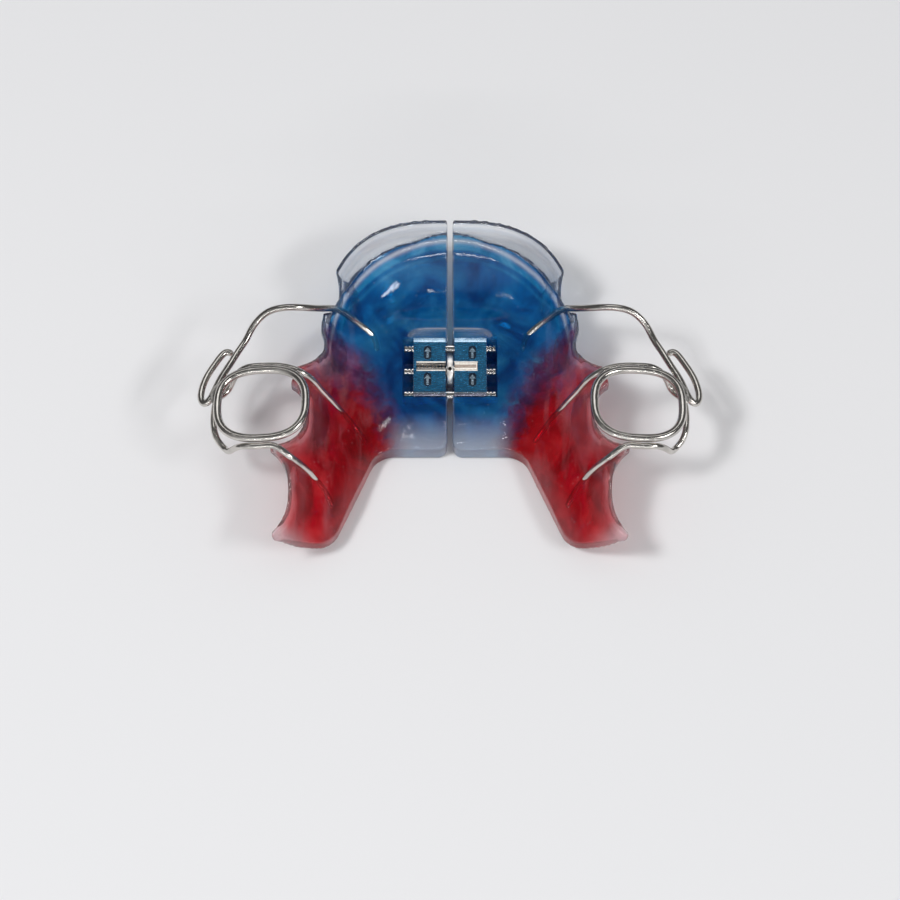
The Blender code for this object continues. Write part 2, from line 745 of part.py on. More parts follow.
def key_hole_cutter(name, tilt):
    cutter = cylinder(name, KEY_HOLE_RADIUS, 2 * (HUB_RADIUS + CUT_MARGIN), sides=12)
    cutter.location = (0.0, SCREW_Y, SCREW_Z)
    cutter.rotation_euler = (tilt, 0.0, 0.0)
    return cutter


def build_spindle(material, parent):
    """Threaded ends of opposite hand on a hub with two crossed key holes; the thread is plain here."""
    hub_x = HUB_WIDTH / 2
    upper = ringed_end(SPINDLE_END_RADIUS, SHAFT_END_X, HOUSING_OUTER_X)
    upper += [
        (SPINDLE_END_RADIUS, HOUSING_OUTER_X),
        (THREAD_RADIUS, HOUSING_OUTER_X - STUB_CHAMFER),
        (THREAD_RADIUS, hub_x),
        (HUB_RADIUS - HUB_CHAMFER, hub_x),
        (HUB_RADIUS, hub_x - HUB_CHAMFER),
    ]
    spindle = turned("spindle", mirrored_profile(upper), ROUND_SIDES)
    spindle.rotation_euler = (0.0, math.pi / 2, 0.0)
    for number, tilt in enumerate((KEY_HOLE_TILT, KEY_HOLE_TILT + math.pi / 2), start=1):
        cut(spindle, key_hole_cutter(f"key_hole_{number}", tilt))
    return as_part(spindle, material, parent)


def build_bead(side, material, parent):
    """Solder between the ring and the front arm, hollowed out by both wires."""
    name = f"solder_bead_{SIDE_NAMES[side]}"
    ring_side = Vector(beside_ring(KNOT_ANGLE, 0.0, 0.0))
    arm_side = Vector(knot_place())
    middle = (ring_side + arm_side) / 2
    shape = bmesh.new()
    bmesh.ops.create_uvsphere(shape, u_segments=16, v_segments=10, radius=BEAD_RADIUS)
    bead = object_from_bmesh(name, shape)
    bead.location = (side * middle.x, middle.y, middle.z)
    ring_hole = wire(f"{name}_ring_hole", sided_path(side, ring_path()),
                     bore_radius(RING_WIRE_RADIUS, WIRE_FIT / 2, WIRE_SIDES), cyclic=True)
    cut(bead, ring_hole)
    cut(bead, wire(f"{name}_arm_hole", sided_path(side, front_arm_path()),
                   bore_radius(ARM_WIRE_RADIUS, WIRE_FIT / 2, WIRE_SIDES)))
    return as_part(bead, material, parent)


def build_wires(side, steel, solder, parent):
    suffix = SIDE_NAMES[side]
    ring = wire(f"clasp_ring_{suffix}", sided_path(side, ring_path()), RING_WIRE_RADIUS, cyclic=True)
    as_part(ring, steel, parent)
    arm = wire(f"front_arm_{suffix}", sided_path(side, front_arm_path()), ARM_WIRE_RADIUS)
    as_part(arm, steel, parent)
    clasp = wire(f"arrow_clasp_{suffix}", sided_path(side, clasp_path()), CLASP_WIRE_RADIUS)
    as_part(clasp, steel, parent)
    build_bead(side, solder, parent)


def new_empty(name, place):
    empty = new_object(name, None)
    empty.location = place
    return empty


def main():
    clear_scene()
    new_collection("palatal_expander")
    new_collection("cutters")
    acrylic = new_material("tinted_acrylic", (0.05, 0.16, 0.45), 0.0, 0.12)
    blue_metal = new_material("blue_anodised_metal", (0.06, 0.22, 0.42), 0.9, 0.3)
    steel = new_material("polished_steel", (0.62, 0.61, 0.59), 1.0, 0.18)
    solder = new_material("silver_solder", (0.55, 0.54, 0.52), 1.0, 0.32)
    insert = new_material("pale_insert", (0.72, 0.68, 0.62), 0.0, 0.35)

    core = new_empty("screw_core", (0.0, SCREW_Y, SCREW_Z))
    build_spindle(steel, core)
    build_pin("guide_pin_front", PIN_OFFSET, steel, core)
    build_pin("guide_pin_rear", -PIN_OFFSET, steel, core)
    for side in (LEFT, RIGHT):
        half = new_empty(f"half_{SIDE_NAMES[side]}", (0.0, 0.0, 0.0))
        build_plate(side, acrylic, half)
        build_housing(side, blue_metal, half)
        build_wires(side, steel, solder, half)
        if side == RIGHT:
            build_insert(insert, half)


main()
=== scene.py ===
"""Looks of the palatal expander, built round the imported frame.

Every new piece is modelled in the frame's own metres: +X across, +Y to the front, +Z up. The left half
mirrors the right half in x = 0.
"""

import math
from collections import namedtuple

import bmesh
import bpy
import numpy as np
from mathutils import Matrix, Vector, noise


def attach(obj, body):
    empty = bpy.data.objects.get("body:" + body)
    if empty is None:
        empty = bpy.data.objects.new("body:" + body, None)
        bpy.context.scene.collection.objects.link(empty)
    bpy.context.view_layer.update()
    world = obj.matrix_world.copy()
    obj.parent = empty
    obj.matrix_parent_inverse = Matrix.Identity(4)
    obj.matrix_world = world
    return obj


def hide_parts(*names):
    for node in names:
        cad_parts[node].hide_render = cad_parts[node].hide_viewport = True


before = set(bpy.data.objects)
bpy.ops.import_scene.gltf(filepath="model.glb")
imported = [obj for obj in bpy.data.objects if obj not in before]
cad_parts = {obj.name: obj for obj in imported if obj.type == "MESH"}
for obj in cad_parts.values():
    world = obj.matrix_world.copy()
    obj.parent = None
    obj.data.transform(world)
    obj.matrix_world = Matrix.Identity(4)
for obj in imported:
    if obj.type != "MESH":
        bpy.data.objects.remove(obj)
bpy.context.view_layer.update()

MM = 0.001
RIGHT = 1
LEFT = -1
SIDE_NAMES = {RIGHT: "right", LEFT: "left"}

# Plan and section of the plate, as in the CAD
PLATE_LENGTH = 0.0388
FRONT_Y = PLATE_LENGTH / 2
WING_END_Y = -PLATE_LENGTH / 2
ARCH_HALF_WIDTH = 0.0143
ARCH_SPREAD = 0.19
ARCH_POWER = 2.8
ARCH_TURN_Y = 0.002
FRONT_TIP_DEPTH = 0.0020
REAR_TIP_DEPTH = 0.0034
WING_TIP_X = 0.0185
WING_INNER_X = 0.0128
WING_INNER_END_Y = -0.0180
WING_CORNER_RADIUS = 0.0036
THROAT_X = 0.0080
THROAT_RADIUS = 0.0028
REAR_EDGE_Y = -0.0062
SLIT_WIDTH = 0.00055
PLATE_THICKNESS = 0.0021
WING_END_THICKNESS = 0.0011
WING_TAPER_LENGTH = 0.0060
VAULT_RISE = 0.0050
VAULT_FRONT_EXTRA = 0.0010
VAULT_FLAT_SHARE = 0.42
VAULT_POWER = 2.2
PAD_MARGIN = 0.0007
PAD_RUNOUT = 0.0050
MARGIN_STEP = 0.0007
MARGIN_FRONT = 0.0013
MARGIN_SIDE = 0.0005
MARGIN_POWER = 2.25
MARGIN_END_Y = 0.0066
Scallop = namedtuple("Scallop", "x y half_x half_y power")
CORNER_SCALLOP = Scallop(x=0.0159, y=0.0112, half_x=0.0035, half_y=0.0040, power=2.0)
ARM_SCALLOP = Scallop(x=0.0182, y=0.0039, half_x=0.0043, half_y=0.0032, power=2.2)
RING_SCALLOP = Scallop(x=0.0204, y=-0.0049, half_x=0.0046, half_y=0.0040, power=2.6)
REAR_SCALLOP = Scallop(x=0.0225, y=-0.0142, half_x=0.0051, half_y=0.0058, power=2.2)
SCALLOPS = (CORNER_SCALLOP, ARM_SCALLOP, RING_SCALLOP, REAR_SCALLOP)

# Expansion screw: sizes of the CAD
SCREW_Y = 0.0033
SCREW_Z = 0.00271
HUB_RADIUS = 0.00183
HUB_WIDTH = 0.00066
KEY_HOLE_RADIUS = 0.00022
KEY_HOLE_TILT = math.radians(17)
THREAD_RADIUS = 0.00072
THREAD_PITCH = 0.0004
SPINDLE_END_RADIUS = 0.00043
PIN_RADIUS = 0.00045
PIN_OFFSET = 0.00295
HOUSING_HALF_LENGTH = 0.0038
HOUSING_HEIGHT = 0.0028
HOUSING_INNER_X = 0.00048
HOUSING_OUTER_X = 0.00408
HOUSING_ROUNDING = 0.0006
SHAFT_END_X = 0.00518
SLOT_WIDTH = 0.0009
SLOT_END_WALL = 0.00035
INSERT_LENGTH = 0.0026
RUNNING_FIT = 0.00005
POCKET_FIT = 0.00008
LEDGE_MARGIN = 0.0007
LEDGE_DEPTH = 0.0004
HOUSING_BOTTOM_Z = SCREW_Z - HOUSING_HEIGHT / 2
HOUSING_TOP_Z = SCREW_Z + HOUSING_HEIGHT / 2
PAD_HEIGHT = HOUSING_TOP_Z - 0.15 * MM
PAD_HALF_X = SHAFT_END_X + PAD_MARGIN
PAD_HALF_Y = HOUSING_HALF_LENGTH + LEDGE_MARGIN + PAD_MARGIN

# Expansion screw: finer forms
THREAD_DEPTH = 0.11 * MM
THREAD_FLANK = 2.6
THREAD_SIDES = 48
STEPS_PER_PITCH = 10
THREAD_END_GAP = 0.1 * MM
HUB_CHAMFER = 0.1 * MM
HUB_EDGE = 0.03 * MM
TIP_ROUNDING = 0.12 * MM
TIP_OVERLAP = 0.15 * MM
RING_GROOVE_PLACES = (0.42, 0.76)
RING_GROOVE_HALF_WIDTH = 0.10 * MM
RING_GROOVE_DEPTH = 0.12 * MM
HOUSING_BEVEL = 0.05 * MM
HOUSING_WEAR = 0.02 * MM
FRONT_BEVEL_WIDTH = 0.00072
BEVEL_KNEE = (0.10 * MM, 0.19 * MM)
SLOT_STEP_WIDTH = 0.17 * MM
SLOT_STEP_DEPTH = 0.05 * MM
RECESS_PLACE = 0.56
RECESS_OFFSET = 1.72 * MM
RECESS_HALF_LENGTH = 0.46 * MM
RECESS_RADIUS = 0.42 * MM
RECESS_DEPTH = 0.12 * MM
ARROW_SIZE = 0.68 * MM
ARROW_SUNK = 0.03 * MM
INSERT_GAP = 0.04 * MM
INSERT_TOP_Z = HOUSING_TOP_Z - 0.05 * MM
GROOVE_DEPTH = 0.12 * MM
GROOVE_END = 0.15 * MM
INSERT_ROUNDING = 0.05 * MM
SAME_HEIGHT = 0.01 * MM

# Finishes of a half body, after the blue coat that comes first; among them a painted highlight for the
# front bevel, painted shade for the rear bevel and a painted highlight along the slot's step
WORN, RECESSED, CUT_AND_HIGHLIGHT, PAINTED_SHADE, PAINTED_SLOT_HIGHLIGHT = range(1, 6)

# Wirework, as in the CAD apart from the tails and the bead
RING_WIRE_RADIUS = 0.00045
ARM_WIRE_RADIUS = 0.00038
CLASP_WIRE_RADIUS = 0.00035
RING_HALF_X = RING_SCALLOP.half_x + 0.0002
RING_HALF_Y = RING_SCALLOP.half_y + 0.0002
RING_HEIGHT = 0.0103
RING_TILT = 0.0005
WIRE_GAP = 0.00008
ARM_CREST_HEIGHT = 0.0111
BRIDGE_DROP = 0.0025
BRIDGE_STANDOFF = 0.0006
ARROW_DROP = 0.0034
LOOP_LENGTH = 0.0067
LOOP_REACH = 0.0015
KNOT_ANGLE = 18
TAIL_SHARE = 0.17
BEAD_HALF_LENGTH = 1.5 * MM
BEAD_HALF_WIDTH = 0.85 * MM
BEAD_HALF_HEIGHT = 0.46 * MM
BEAD_WAIST = 0.45

# Hand-finished acrylic: slow waves of the surface, lips along its edges and the bead of the border
WAVE_HEIGHT = 0.16 * MM
WAVE_LENGTH = 4.5 * MM
RIPPLE_HEIGHT = 0.035 * MM
RIPPLE_LENGTH = 1.6 * MM
LIP_HEIGHT = 0.16 * MM
LIP_PLACE = 0.55 * MM
LIP_WIDTH = 0.30 * MM
BORDER_HEIGHT = 0.22 * MM
BORDER_PLACE = 0.55 * MM
BORDER_WIDTH = 0.42 * MM
CUSP_DEPTH = 0.018
PAD_BLEND = 0.35 * MM
VAULT_BLEND = 0.22
RIM_TAPER = 0.62
RIM_TAPER_WIDTH = 2.4 * MM
TIP_RADIUS = 0.45 * MM
REAR_CORNER_RADIUS = 1.1 * MM
LEDGE_SLOPE = 0.15 * MM
POCKET_LIP_HEIGHT = 0.14 * MM
POCKET_LIP_WIDTH = 0.28 * MM

# Zones of the acrylic: a span runs from where a share is nothing to where it is whole
RED_EDGE_X = 8.7 * MM
RED_EDGE_Y = 1.0 * MM
RED_EDGE_SLOPE = 0.36
RED_BLEND = (-3.2 * MM, 2.8 * MM)
FRONT_FADE = (7.5 * MM, 4.0 * MM)
REAR_FADE = (2.0 * MM, -2.5 * MM)
FRONT_FADE_SHARE = 0.62
CLEAR_SIDE = (0.10 * MM, -0.10 * MM)
CLEAR_START = (MARGIN_END_Y - 1.5 * MM, MARGIN_END_Y + 0.5 * MM)
RIM_FILM = (0.50 * MM, 0.10 * MM)
SLIT_FILM = (SLIT_WIDTH / 2 + 0.22 * MM, SLIT_WIDTH / 2 + 0.05 * MM)
SLIT_FILM_END = SLIT_WIDTH / 2 + 0.24 * MM
THIN_RIM = (3.0 * MM, 0.5 * MM)
THIN_RIM_START = (5 * MM, 1 * MM)
# Pale line along the clear band's lip: a painted highlight
BAND_LIP_HIGHLIGHT = (0.50 * MM, 0.16 * MM)
# Pale line inside the border's bead: thinner colour there, lightened into a painted highlight
BORDER_LIP_HIGHLIGHT = (0.52 * MM, 0.15 * MM)
BORDER_LIP_HIGHLIGHT_START = (ARCH_TURN_Y, MARGIN_END_Y + 2 * MM)
# Painted highlight: a pale line just outside the crest of the pocket's ledge
POCKET_HIGHLIGHT_PLACE = 0.18 * MM
POCKET_HIGHLIGHT_WIDTH = 0.13 * MM
POCKET_HIGHLIGHT_START = (SCREW_Y + 3 * MM, SCREW_Y + 4 * MM)
REAR_LENGTH = (4.0 * MM, 0.2 * MM)
REAR_HALF_WIDTH = (7.6 * MM, 4.6 * MM)
TIP_LENGTH = (-16.5 * MM, -19.4 * MM)
TIP_WIDTH = (13.5 * MM, 18.5 * MM)
INNER_EDGE_WIDTH = (2.4 * MM, 0.0)
INNER_EDGE_START = (REAR_EDGE_Y, REAR_EDGE_Y - 2 * MM)

# Fineness of the meshes
GRID_SPACING = 0.3 * MM
VOXEL_SIZE = 0.136 * MM
POLISH_PASSES = 10
BORDER_STEPS = 72
RIM_STEPS = 60
WIRE_SPACING = 0.22 * MM
WIRE_SIDES = 24
CAP_RINGS = 5
ROUND_SIDES = 64
CUT_MARGIN = 1 * MM
TOP_Z = 11.5 * MM

# Light and camera
EVEN_TENT = 0.41
DIM_TENT = 0.10
BRIGHT_WALL = 0.65
LAMP_TARGET = Vector((0.0, 0.0, 0.004))
CAMERA_TARGET = Vector((0.0, -0.0067, 0.003))
CAMERA_DISTANCE = 0.330
CAMERA_ELEVATION = math.radians(62)

# Plan curves and heights


def smoothstep(low, high, value):
    share = min(max((value - low) / (high - low), 0.0), 1.0)
    return share * share * (3 - 2 * share)


def bell(value, place, width):
    return math.exp(-(((value - place) / width) ** 2))


def superellipse_point(x, y, half_x, half_y, power, degrees):
    cosine = math.cos(math.radians(degrees))
    sine = math.sin(math.radians(degrees))
    across = math.copysign(abs(cosine) ** (2 / power), cosine)
    along = math.copysign(abs(sine) ** (2 / power), sine)
    return x + half_x * across, y + half_y * along


def superellipse_distance(x, y, shape):
    """About how far a plan point lies outside a superellipse, negative inside it."""
    across = (x - shape.x) / shape.half_x
    along = (y - shape.y) / shape.half_y
    reach = (abs(across) ** shape.power + abs(along) ** shape.power) ** (1 / shape.power)
    if reach < 1e-6:
        return -min(shape.half_x, shape.half_y)
    return math.hypot(x - shape.x, y - shape.y) * (1 - 1 / reach)


def rounded_corner(before, corner, after, radius, steps):
    """Arc of the given radius that replaces the corner of an outline."""
    to_before = (before - corner).normalized()
    to_after = (after - corner).normalized()
    half_angle = to_before.angle(to_after) / 2
    centre = corner + (to_before + to_after).normalized() * radius / math.sin(half_angle)
    start = (corner + to_before * radius / math.tan(half_angle) - centre).normalized()
    end = (corner + to_after * radius / math.tan(half_angle) - centre).normalized()
    return [centre + radius * start.slerp(end, step / steps) for step in range(steps + 1)]


def pocket_outline(grow):
    """Rounded outline at a distance outside the ledge of the screw's pocket."""
    return Scallop(0.0, SCREW_Y, HOUSING_OUTER_X + LEDGE_MARGIN / 2 + LEDGE_SLOPE + grow,
                   HOUSING_HALF_LENGTH + LEDGE_MARGIN + LEDGE_SLOPE + grow, 7.0)


BORDER = Scallop(0.0, ARCH_TURN_Y, ARCH_HALF_WIDTH - MARGIN_SIDE,
                 FRONT_Y - MARGIN_FRONT - ARCH_TURN_Y, MARGIN_POWER)
ARCH = Scallop(0.0, ARCH_TURN_Y, ARCH_HALF_WIDTH, FRONT_Y - ARCH_TURN_Y, ARCH_POWER)
POCKET_LIP = pocket_outline(POCKET_LIP_WIDTH)
POCKET_HIGHLIGHT_LINE = pocket_outline(POCKET_HIGHLIGHT_PLACE)


def arch_half_width(y):
    return ARCH_HALF_WIDTH + ARCH_SPREAD * max(0.0, ARCH_TURN_Y - y)


def front_share(y):
    return max(0.0, y - ARCH_TURN_Y) / (FRONT_Y - ARCH_TURN_Y)


def vault_share(x, y):
    """Share of the way from the flat middle to the rim of the arch, with a soft start."""
    across = abs(x) / arch_half_width(y)
    reach = (across ** ARCH_POWER + front_share(y) ** ARCH_POWER) ** (1 / ARCH_POWER)
    share = (min(reach, 1.0) - VAULT_FLAT_SHARE) / (1 - VAULT_FLAT_SHARE)
    return (share + math.hypot(share, VAULT_BLEND)) / (1 + math.hypot(1, VAULT_BLEND))


def vault_rise(y):
    return VAULT_RISE + VAULT_FRONT_EXTRA * front_share(y)


def vault_height(x, y):
    return vault_rise(y) * vault_share(x, y) ** VAULT_POWER


def wall_thickness(y):
    share = max(0.0, min((y - WING_END_Y) / WING_TAPER_LENGTH, 1.0))
    return WING_END_THICKNESS + (PLATE_THICKNESS - WING_END_THICKNESS) * share


def pad_share(x, y):
    beyond_x = max(0.0, abs(x) - PAD_HALF_X)
    beyond_y = max(0.0, abs(y - SCREW_Y) - PAD_HALF_Y)
    near_pad = max(0.0, 1 - math.hypot(beyond_x, beyond_y) / PAD_RUNOUT)
    return near_pad * near_pad * (3 - 2 * near_pad)


def tongue_height(x, y):
    run = ARCH_HALF_WIDTH * (1 - VAULT_FLAT_SHARE)
    slope = vault_rise(y) * VAULT_POWER * vault_share(x, y) ** (VAULT_POWER - 1) / run
    wall = vault_height(x, y) + wall_thickness(y) * math.hypot(1, slope)
    missing = PAD_HEIGHT - wall
    return wall + pad_share(x, y) * (missing + math.hypot(missing, PAD_BLEND)) / 2


def border_curve():
    """Border of the thick middle from the midline to the side, with its slight cusps."""
    points = []
    for step in range(1, BORDER_STEPS + 1):
        angle = 90 - 90 * step / BORDER_STEPS
        scale = 1 + CUSP_DEPTH * (abs(math.sin(math.radians(4.5 * angle + 20))) - 0.6)
        points.append(superellipse_point(BORDER.x, BORDER.y, BORDER.half_x * scale,
                                         BORDER.half_y * scale, BORDER.power, angle))
    return points


def rim_distance(x, y):
    """Distance of a plan point from the outer rim and the scallops, on the right half."""
    distances = [superellipse_distance(x, y, scallop) for scallop in SCALLOPS]
    if y > ARCH_TURN_Y:
        distances.append(-superellipse_distance(x, y, ARCH))
    return min(distances)


def border_distance(x, y):
    """How far a plan point lies inside the border of the thick middle; far inside behind the arch."""
    if y < ARCH_TURN_Y:
        return 1.0
    return -superellipse_distance(x, y, BORDER)


def rim_lip(x, y):
    return LIP_HEIGHT * bell(rim_distance(x, y), LIP_PLACE, LIP_WIDTH)


def waves(x, y, length, seed):
    return noise.noise(Vector((x / length, y / length, seed)))


def finished_tongue_height(x, y, seed):
    """Tongue side as polished by hand, with a low bead round the front of the screw's pocket."""
    border = BORDER_HEIGHT * bell(border_distance(x, y), BORDER_PLACE, BORDER_WIDTH)
    border *= smoothstep(MARGIN_END_Y - 2 * MM, MARGIN_END_Y + 2 * MM, y)
    pocket = POCKET_LIP_HEIGHT * smoothstep(SCREW_Y, SCREW_Y + 0.5 * HOUSING_HALF_LENGTH, y)
    pocket *= bell(superellipse_distance(abs(x), y, POCKET_LIP), 0.0, POCKET_LIP_WIDTH)
    unevenness = WAVE_HEIGHT * waves(x, y, WAVE_LENGTH, seed)
    unevenness += RIPPLE_HEIGHT * waves(x, y, RIPPLE_LENGTH, seed + 7.0)
    near_screw = smoothstep(0.0, 1.0, pad_share(x, y))
    return tongue_height(x, y) + rim_lip(x, y) + border + pocket + (1 - 0.8 * near_screw) * unevenness


def finished_vault_height(x, y, seed):
    """Underside, drawn up a little along the rim and the scallops, where the acrylic is trimmed thin."""
    share = vault_share(x, y)
    bottom = vault_height(x, y) + 0.8 * WAVE_HEIGHT * waves(x, y, WAVE_LENGTH, seed + 20.0) * share
    taper = RIM_TAPER * smoothstep(RIM_TAPER_WIDTH, 0.0, rim_distance(x, y)) * share
    return bottom + taper * (tongue_height(x, y) - bottom)


def near(scallop, across, along):
    return scallop.x + across * scallop.half_x, scallop.y + along * scallop.half_y


def tail_knots(scallop, radius, places):
    """Knots of a wire's tail, lifted by wire radii over the tongue side, or in mid-plate for None."""
    knots = []
    for across, along, lift in places:
        x, y = near(scallop, across, along)
        if lift is None:
            knots.append((x, y, (vault_height(x, y) + tongue_height(x, y)) / 2))
        else:
            knots.append((x, y, tongue_height(x, y) + lift * radius))
    return knots


# Mesh helpers


def new_object(name, data):
    item = bpy.data.objects.new(name, data)
    bpy.context.scene.collection.objects.link(item)
    return item


def object_from_bmesh(name, shape):
    mesh = bpy.data.meshes.new(name)
    bmesh.ops.recalc_face_normals(shape, faces=shape.faces)
    shape.to_mesh(mesh)
    shape.free()
    return new_object(name, mesh)


def evaluated_mesh(item):
    depsgraph = bpy.context.evaluated_depsgraph_get()
    return bpy.data.meshes.new_from_object(item.evaluated_get(depsgraph))


def apply_modifiers(item):
    mesh = evaluated_mesh(item)
    item.modifiers.clear()
    item.data = mesh
    return item


def boolean(item, cutters, operation="DIFFERENCE", solver="EXACT"):
    """Applies the cutters one after the other, then removes them."""
    for cutter in cutters:
        modifier = item.modifiers.new(cutter.name, "BOOLEAN")
        modifier.operation = operation
        modifier.solver = solver
        modifier.object = cutter
    apply_modifiers(item)
    for cutter in cutters:
        bpy.data.objects.remove(cutter, do_unlink=True)
    return item


def bevelled(item, width, segments, degrees, material=-1):
    bevel = item.modifiers.new("bevel", "BEVEL")
    bevel.width = width
    bevel.segments = segments
    bevel.limit_method = "ANGLE"
    bevel.angle_limit = math.radians(degrees)
    bevel.material = material
    return apply_modifiers(item)


def loft(rings):
    """Skin over rings of points; a ring of one point is a tip."""
    shape = bmesh.new()
    sides = max(len(ring) for ring in rings)
    loops = []
    for ring in rings:
        loop = [shape.verts.new(point) for point in ring]
        loops.append(loop if len(loop) == sides else loop * sides)
    for first, second in zip(loops, loops[1:]):
        for k in range(sides):
            corners = (first[k], first[(k + 1) % sides], second[(k + 1) % sides], second[k])
            shape.faces.new(list(dict.fromkeys(corners)))
    for end in (0, -1):
        if len(rings[end]) == sides:
            shape.faces.new(loops[end])
    return shape


def prism(outline, bottom, top):
    """Closed block over a plan outline, as a cutter."""
    curve = bpy.data.curves.new("prism", "CURVE")
    curve.dimensions = "2D"
    spline = curve.splines.new("POLY")
    spline.points.add(len(outline) - 1)
    for knot, point in zip(spline.points, outline):
        knot.co = (point[0], point[1], 0.0, 1.0)
    spline.use_cyclic_u = True
    curve.fill_mode = "BOTH"
    curve.extrude = (top - bottom) / 2
    source = new_object("prism", curve)
    mesh = evaluated_mesh(source)
    bpy.data.objects.remove(source, do_unlink=True)
    shape = bmesh.new()
    shape.from_mesh(mesh)
    bmesh.ops.remove_doubles(shape, verts=shape.verts, dist=1e-7)
    bmesh.ops.translate(shape, vec=(0.0, 0.0, (top + bottom) / 2), verts=shape.verts)
    return object_from_bmesh("prism", shape)


def sided_box(side, low, high, name="box"):
    """Box between two corners given on the right half."""
    ends = sorted((side * low[0], side * high[0]))
    low = Vector((ends[0], low[1], low[2]))
    high = Vector((ends[1], high[1], high[2]))
    shape = bmesh.new()
    bmesh.ops.create_cube(shape, size=1.0)
    bmesh.ops.scale(shape, vec=high - low, verts=shape.verts)
    bmesh.ops.translate(shape, vec=(low + high) / 2, verts=shape.verts)
    return object_from_bmesh(name, shape)


def rod(start, end, radius, sides=ROUND_SIDES):
    """Plain cylinder between two points, as a cutter."""
    start = Vector(start)
    end = Vector(end)
    shape = bmesh.new()
    turn = (end - start).to_track_quat("Z", "Y").to_matrix().to_4x4()
    bmesh.ops.create_cone(shape, cap_ends=True, segments=sides, radius1=radius, radius2=radius,
                          depth=(end - start).length,
                          matrix=Matrix.Translation((start + end) / 2) @ turn)
    return object_from_bmesh("rod", shape)


def sided(side, points):
    return [(side * point[0], *point[1:]) for point in points]


def grid_solid(name, side, low, high, bottom, top):
    columns = math.ceil((high[0] - low[0]) / GRID_SPACING)
    rows = math.ceil((high[1] - low[1]) / GRID_SPACING)
    shape = bmesh.new()
    bmesh.ops.create_grid(shape, x_segments=columns, y_segments=rows, size=0.5)
    bmesh.ops.scale(shape, vec=(high[0] - low[0], high[1] - low[1], 1.0), verts=shape.verts)
    middle = ((low[0] + high[0]) / 2, (low[1] + high[1]) / 2, 0.0)
    bmesh.ops.translate(shape, vec=middle, verts=shape.verts)
    raised = bmesh.ops.extrude_face_region(shape, geom=shape.faces[:])["geom"]
    upper = {item for item in raised if isinstance(item, bmesh.types.BMVert)}
    for vertex in shape.verts:
        surface = top if vertex in upper else bottom
        vertex.co.z = surface(vertex.co.x, vertex.co.y)
        vertex.co.x *= side
    bmesh.ops.triangulate(shape, faces=shape.faces)
    return object_from_bmesh(name, shape)


def curve_point(before, start, end, after, share):
    t_start = (start - before).length ** 0.5
    t_end = t_start + (end - start).length ** 0.5
    t_after = t_end + (after - end).length ** 0.5
    t = t_start + share * (t_end - t_start)
    first = before.lerp(start, t / t_start)
    middle = start.lerp(end, share)
    last = end.lerp(after, (t - t_end) / (t_after - t_end))
    near_side = first.lerp(middle, t / t_end)
    far_side = middle.lerp(last, (t - t_start) / (t_after - t_start))
    return near_side.lerp(far_side, share)


def smooth_path(knots):
    knots = [Vector(knot) for knot in knots]
    padded = [2 * knots[0] - knots[1], *knots, 2 * knots[-1] - knots[-2]]
    path = []
    for before, start, end, after in zip(padded, padded[1:], padded[2:], padded[3:]):
        steps = max(1, round((end - start).length / WIRE_SPACING))
        path += [curve_point(before, start, end, after, step / steps) for step in range(steps)]
    return [*path, knots[-1]]


def relaxed(path, passes=12):
    """The path with its small kinks bent out; its ends stay."""
    for _ in range(passes):
        middle = [(before + 2 * point + after) / 4
                  for before, point, after in zip(path, path[1:], path[2:])]
        path = [path[0], *middle, path[-1]]
    return path


def tube(name, path, radius, closed):
    """Round wire along a path, with domed ends and a UV map in millimetres along and turns round."""
    path = [Vector(point) for point in path]
    count = len(path)
    tangents = []
    for index in range(count):
        if closed:
            step = path[(index + 1) % count] - path[index - 1]
        else:
            step = path[min(index + 1, count - 1)] - path[max(index - 1, 0)]
        tangents.append(step.normalized())
    normals = [tangents[0].orthogonal().normalized()]
    for before, after in zip(tangents, tangents[1:]):
        normals.append((before.rotation_difference(after) @ normals[-1]).normalized())
    if closed:
        last = tangents[-1].rotation_difference(tangents[0]) @ normals[-1]
        twist = last.angle(normals[0]) * (1 if last.cross(normals[0]).dot(tangents[0]) > 0 else -1)
        normals = [Matrix.Rotation(twist * index / count, 3, tangent) @ normal
                   for index, (normal, tangent) in enumerate(zip(normals, tangents))]

    sections = list(zip(path, tangents, normals, [radius] * count))
    if not closed:
        for ring in range(1, CAP_RINGS):
            bend = math.pi / 2 * ring / CAP_RINGS
            forward = radius * math.sin(bend)
            width = radius * math.cos(bend)
            sections.insert(0, (path[0] - forward * tangents[0], tangents[0], normals[0], width))
            sections.append((path[-1] + forward * tangents[-1], tangents[-1], normals[-1], width))
    shape = bmesh.new()
    rings = []
    for point, tangent, normal, width in sections:
        side = tangent.cross(normal)
        rings.append([shape.verts.new(point + width * (math.cos(turn) * normal + math.sin(turn) * side))
                      for turn in (2 * math.pi * k / WIRE_SIDES for k in range(WIRE_SIDES))])
    uv = shape.loops.layers.uv.new("wire")
    along = 0.0
    for first, second in zip(rings, rings[1:] + (rings[:1] if closed else [])):
        step = (first[0].co - second[0].co).length / MM
        for k in range(WIRE_SIDES):
            after = (k + 1) % WIRE_SIDES
            face = shape.faces.new((first[k], first[after], second[after], second[k]))
            places = ((along, k), (along, k + 1), (along + step, k + 1), (along + step, k))
            for loop, place in zip(face.loops, places):
                loop[uv].uv = (place[0], place[1] / WIRE_SIDES)
        along += step
    if not closed:
        for ring, point in ((rings[0], sections[0][0] - 0.2 * radius * tangents[0]),
                            (rings[-1], sections[-1][0] + 0.2 * radius * tangents[-1])):
            tip = shape.verts.new(point)
            for k in range(WIRE_SIDES):
                shape.faces.new((ring[k], ring[(k + 1) % WIRE_SIDES], tip))
    item = object_from_bmesh(name, shape)
    item.data.shade_smooth()
    return item


def shade(item, degrees):
    """Smooth shading, with the edges sharper than an angle kept."""
    item.data.shade_smooth()
    item.data.set_sharp_from_angle(angle=math.radians(degrees))
    return item


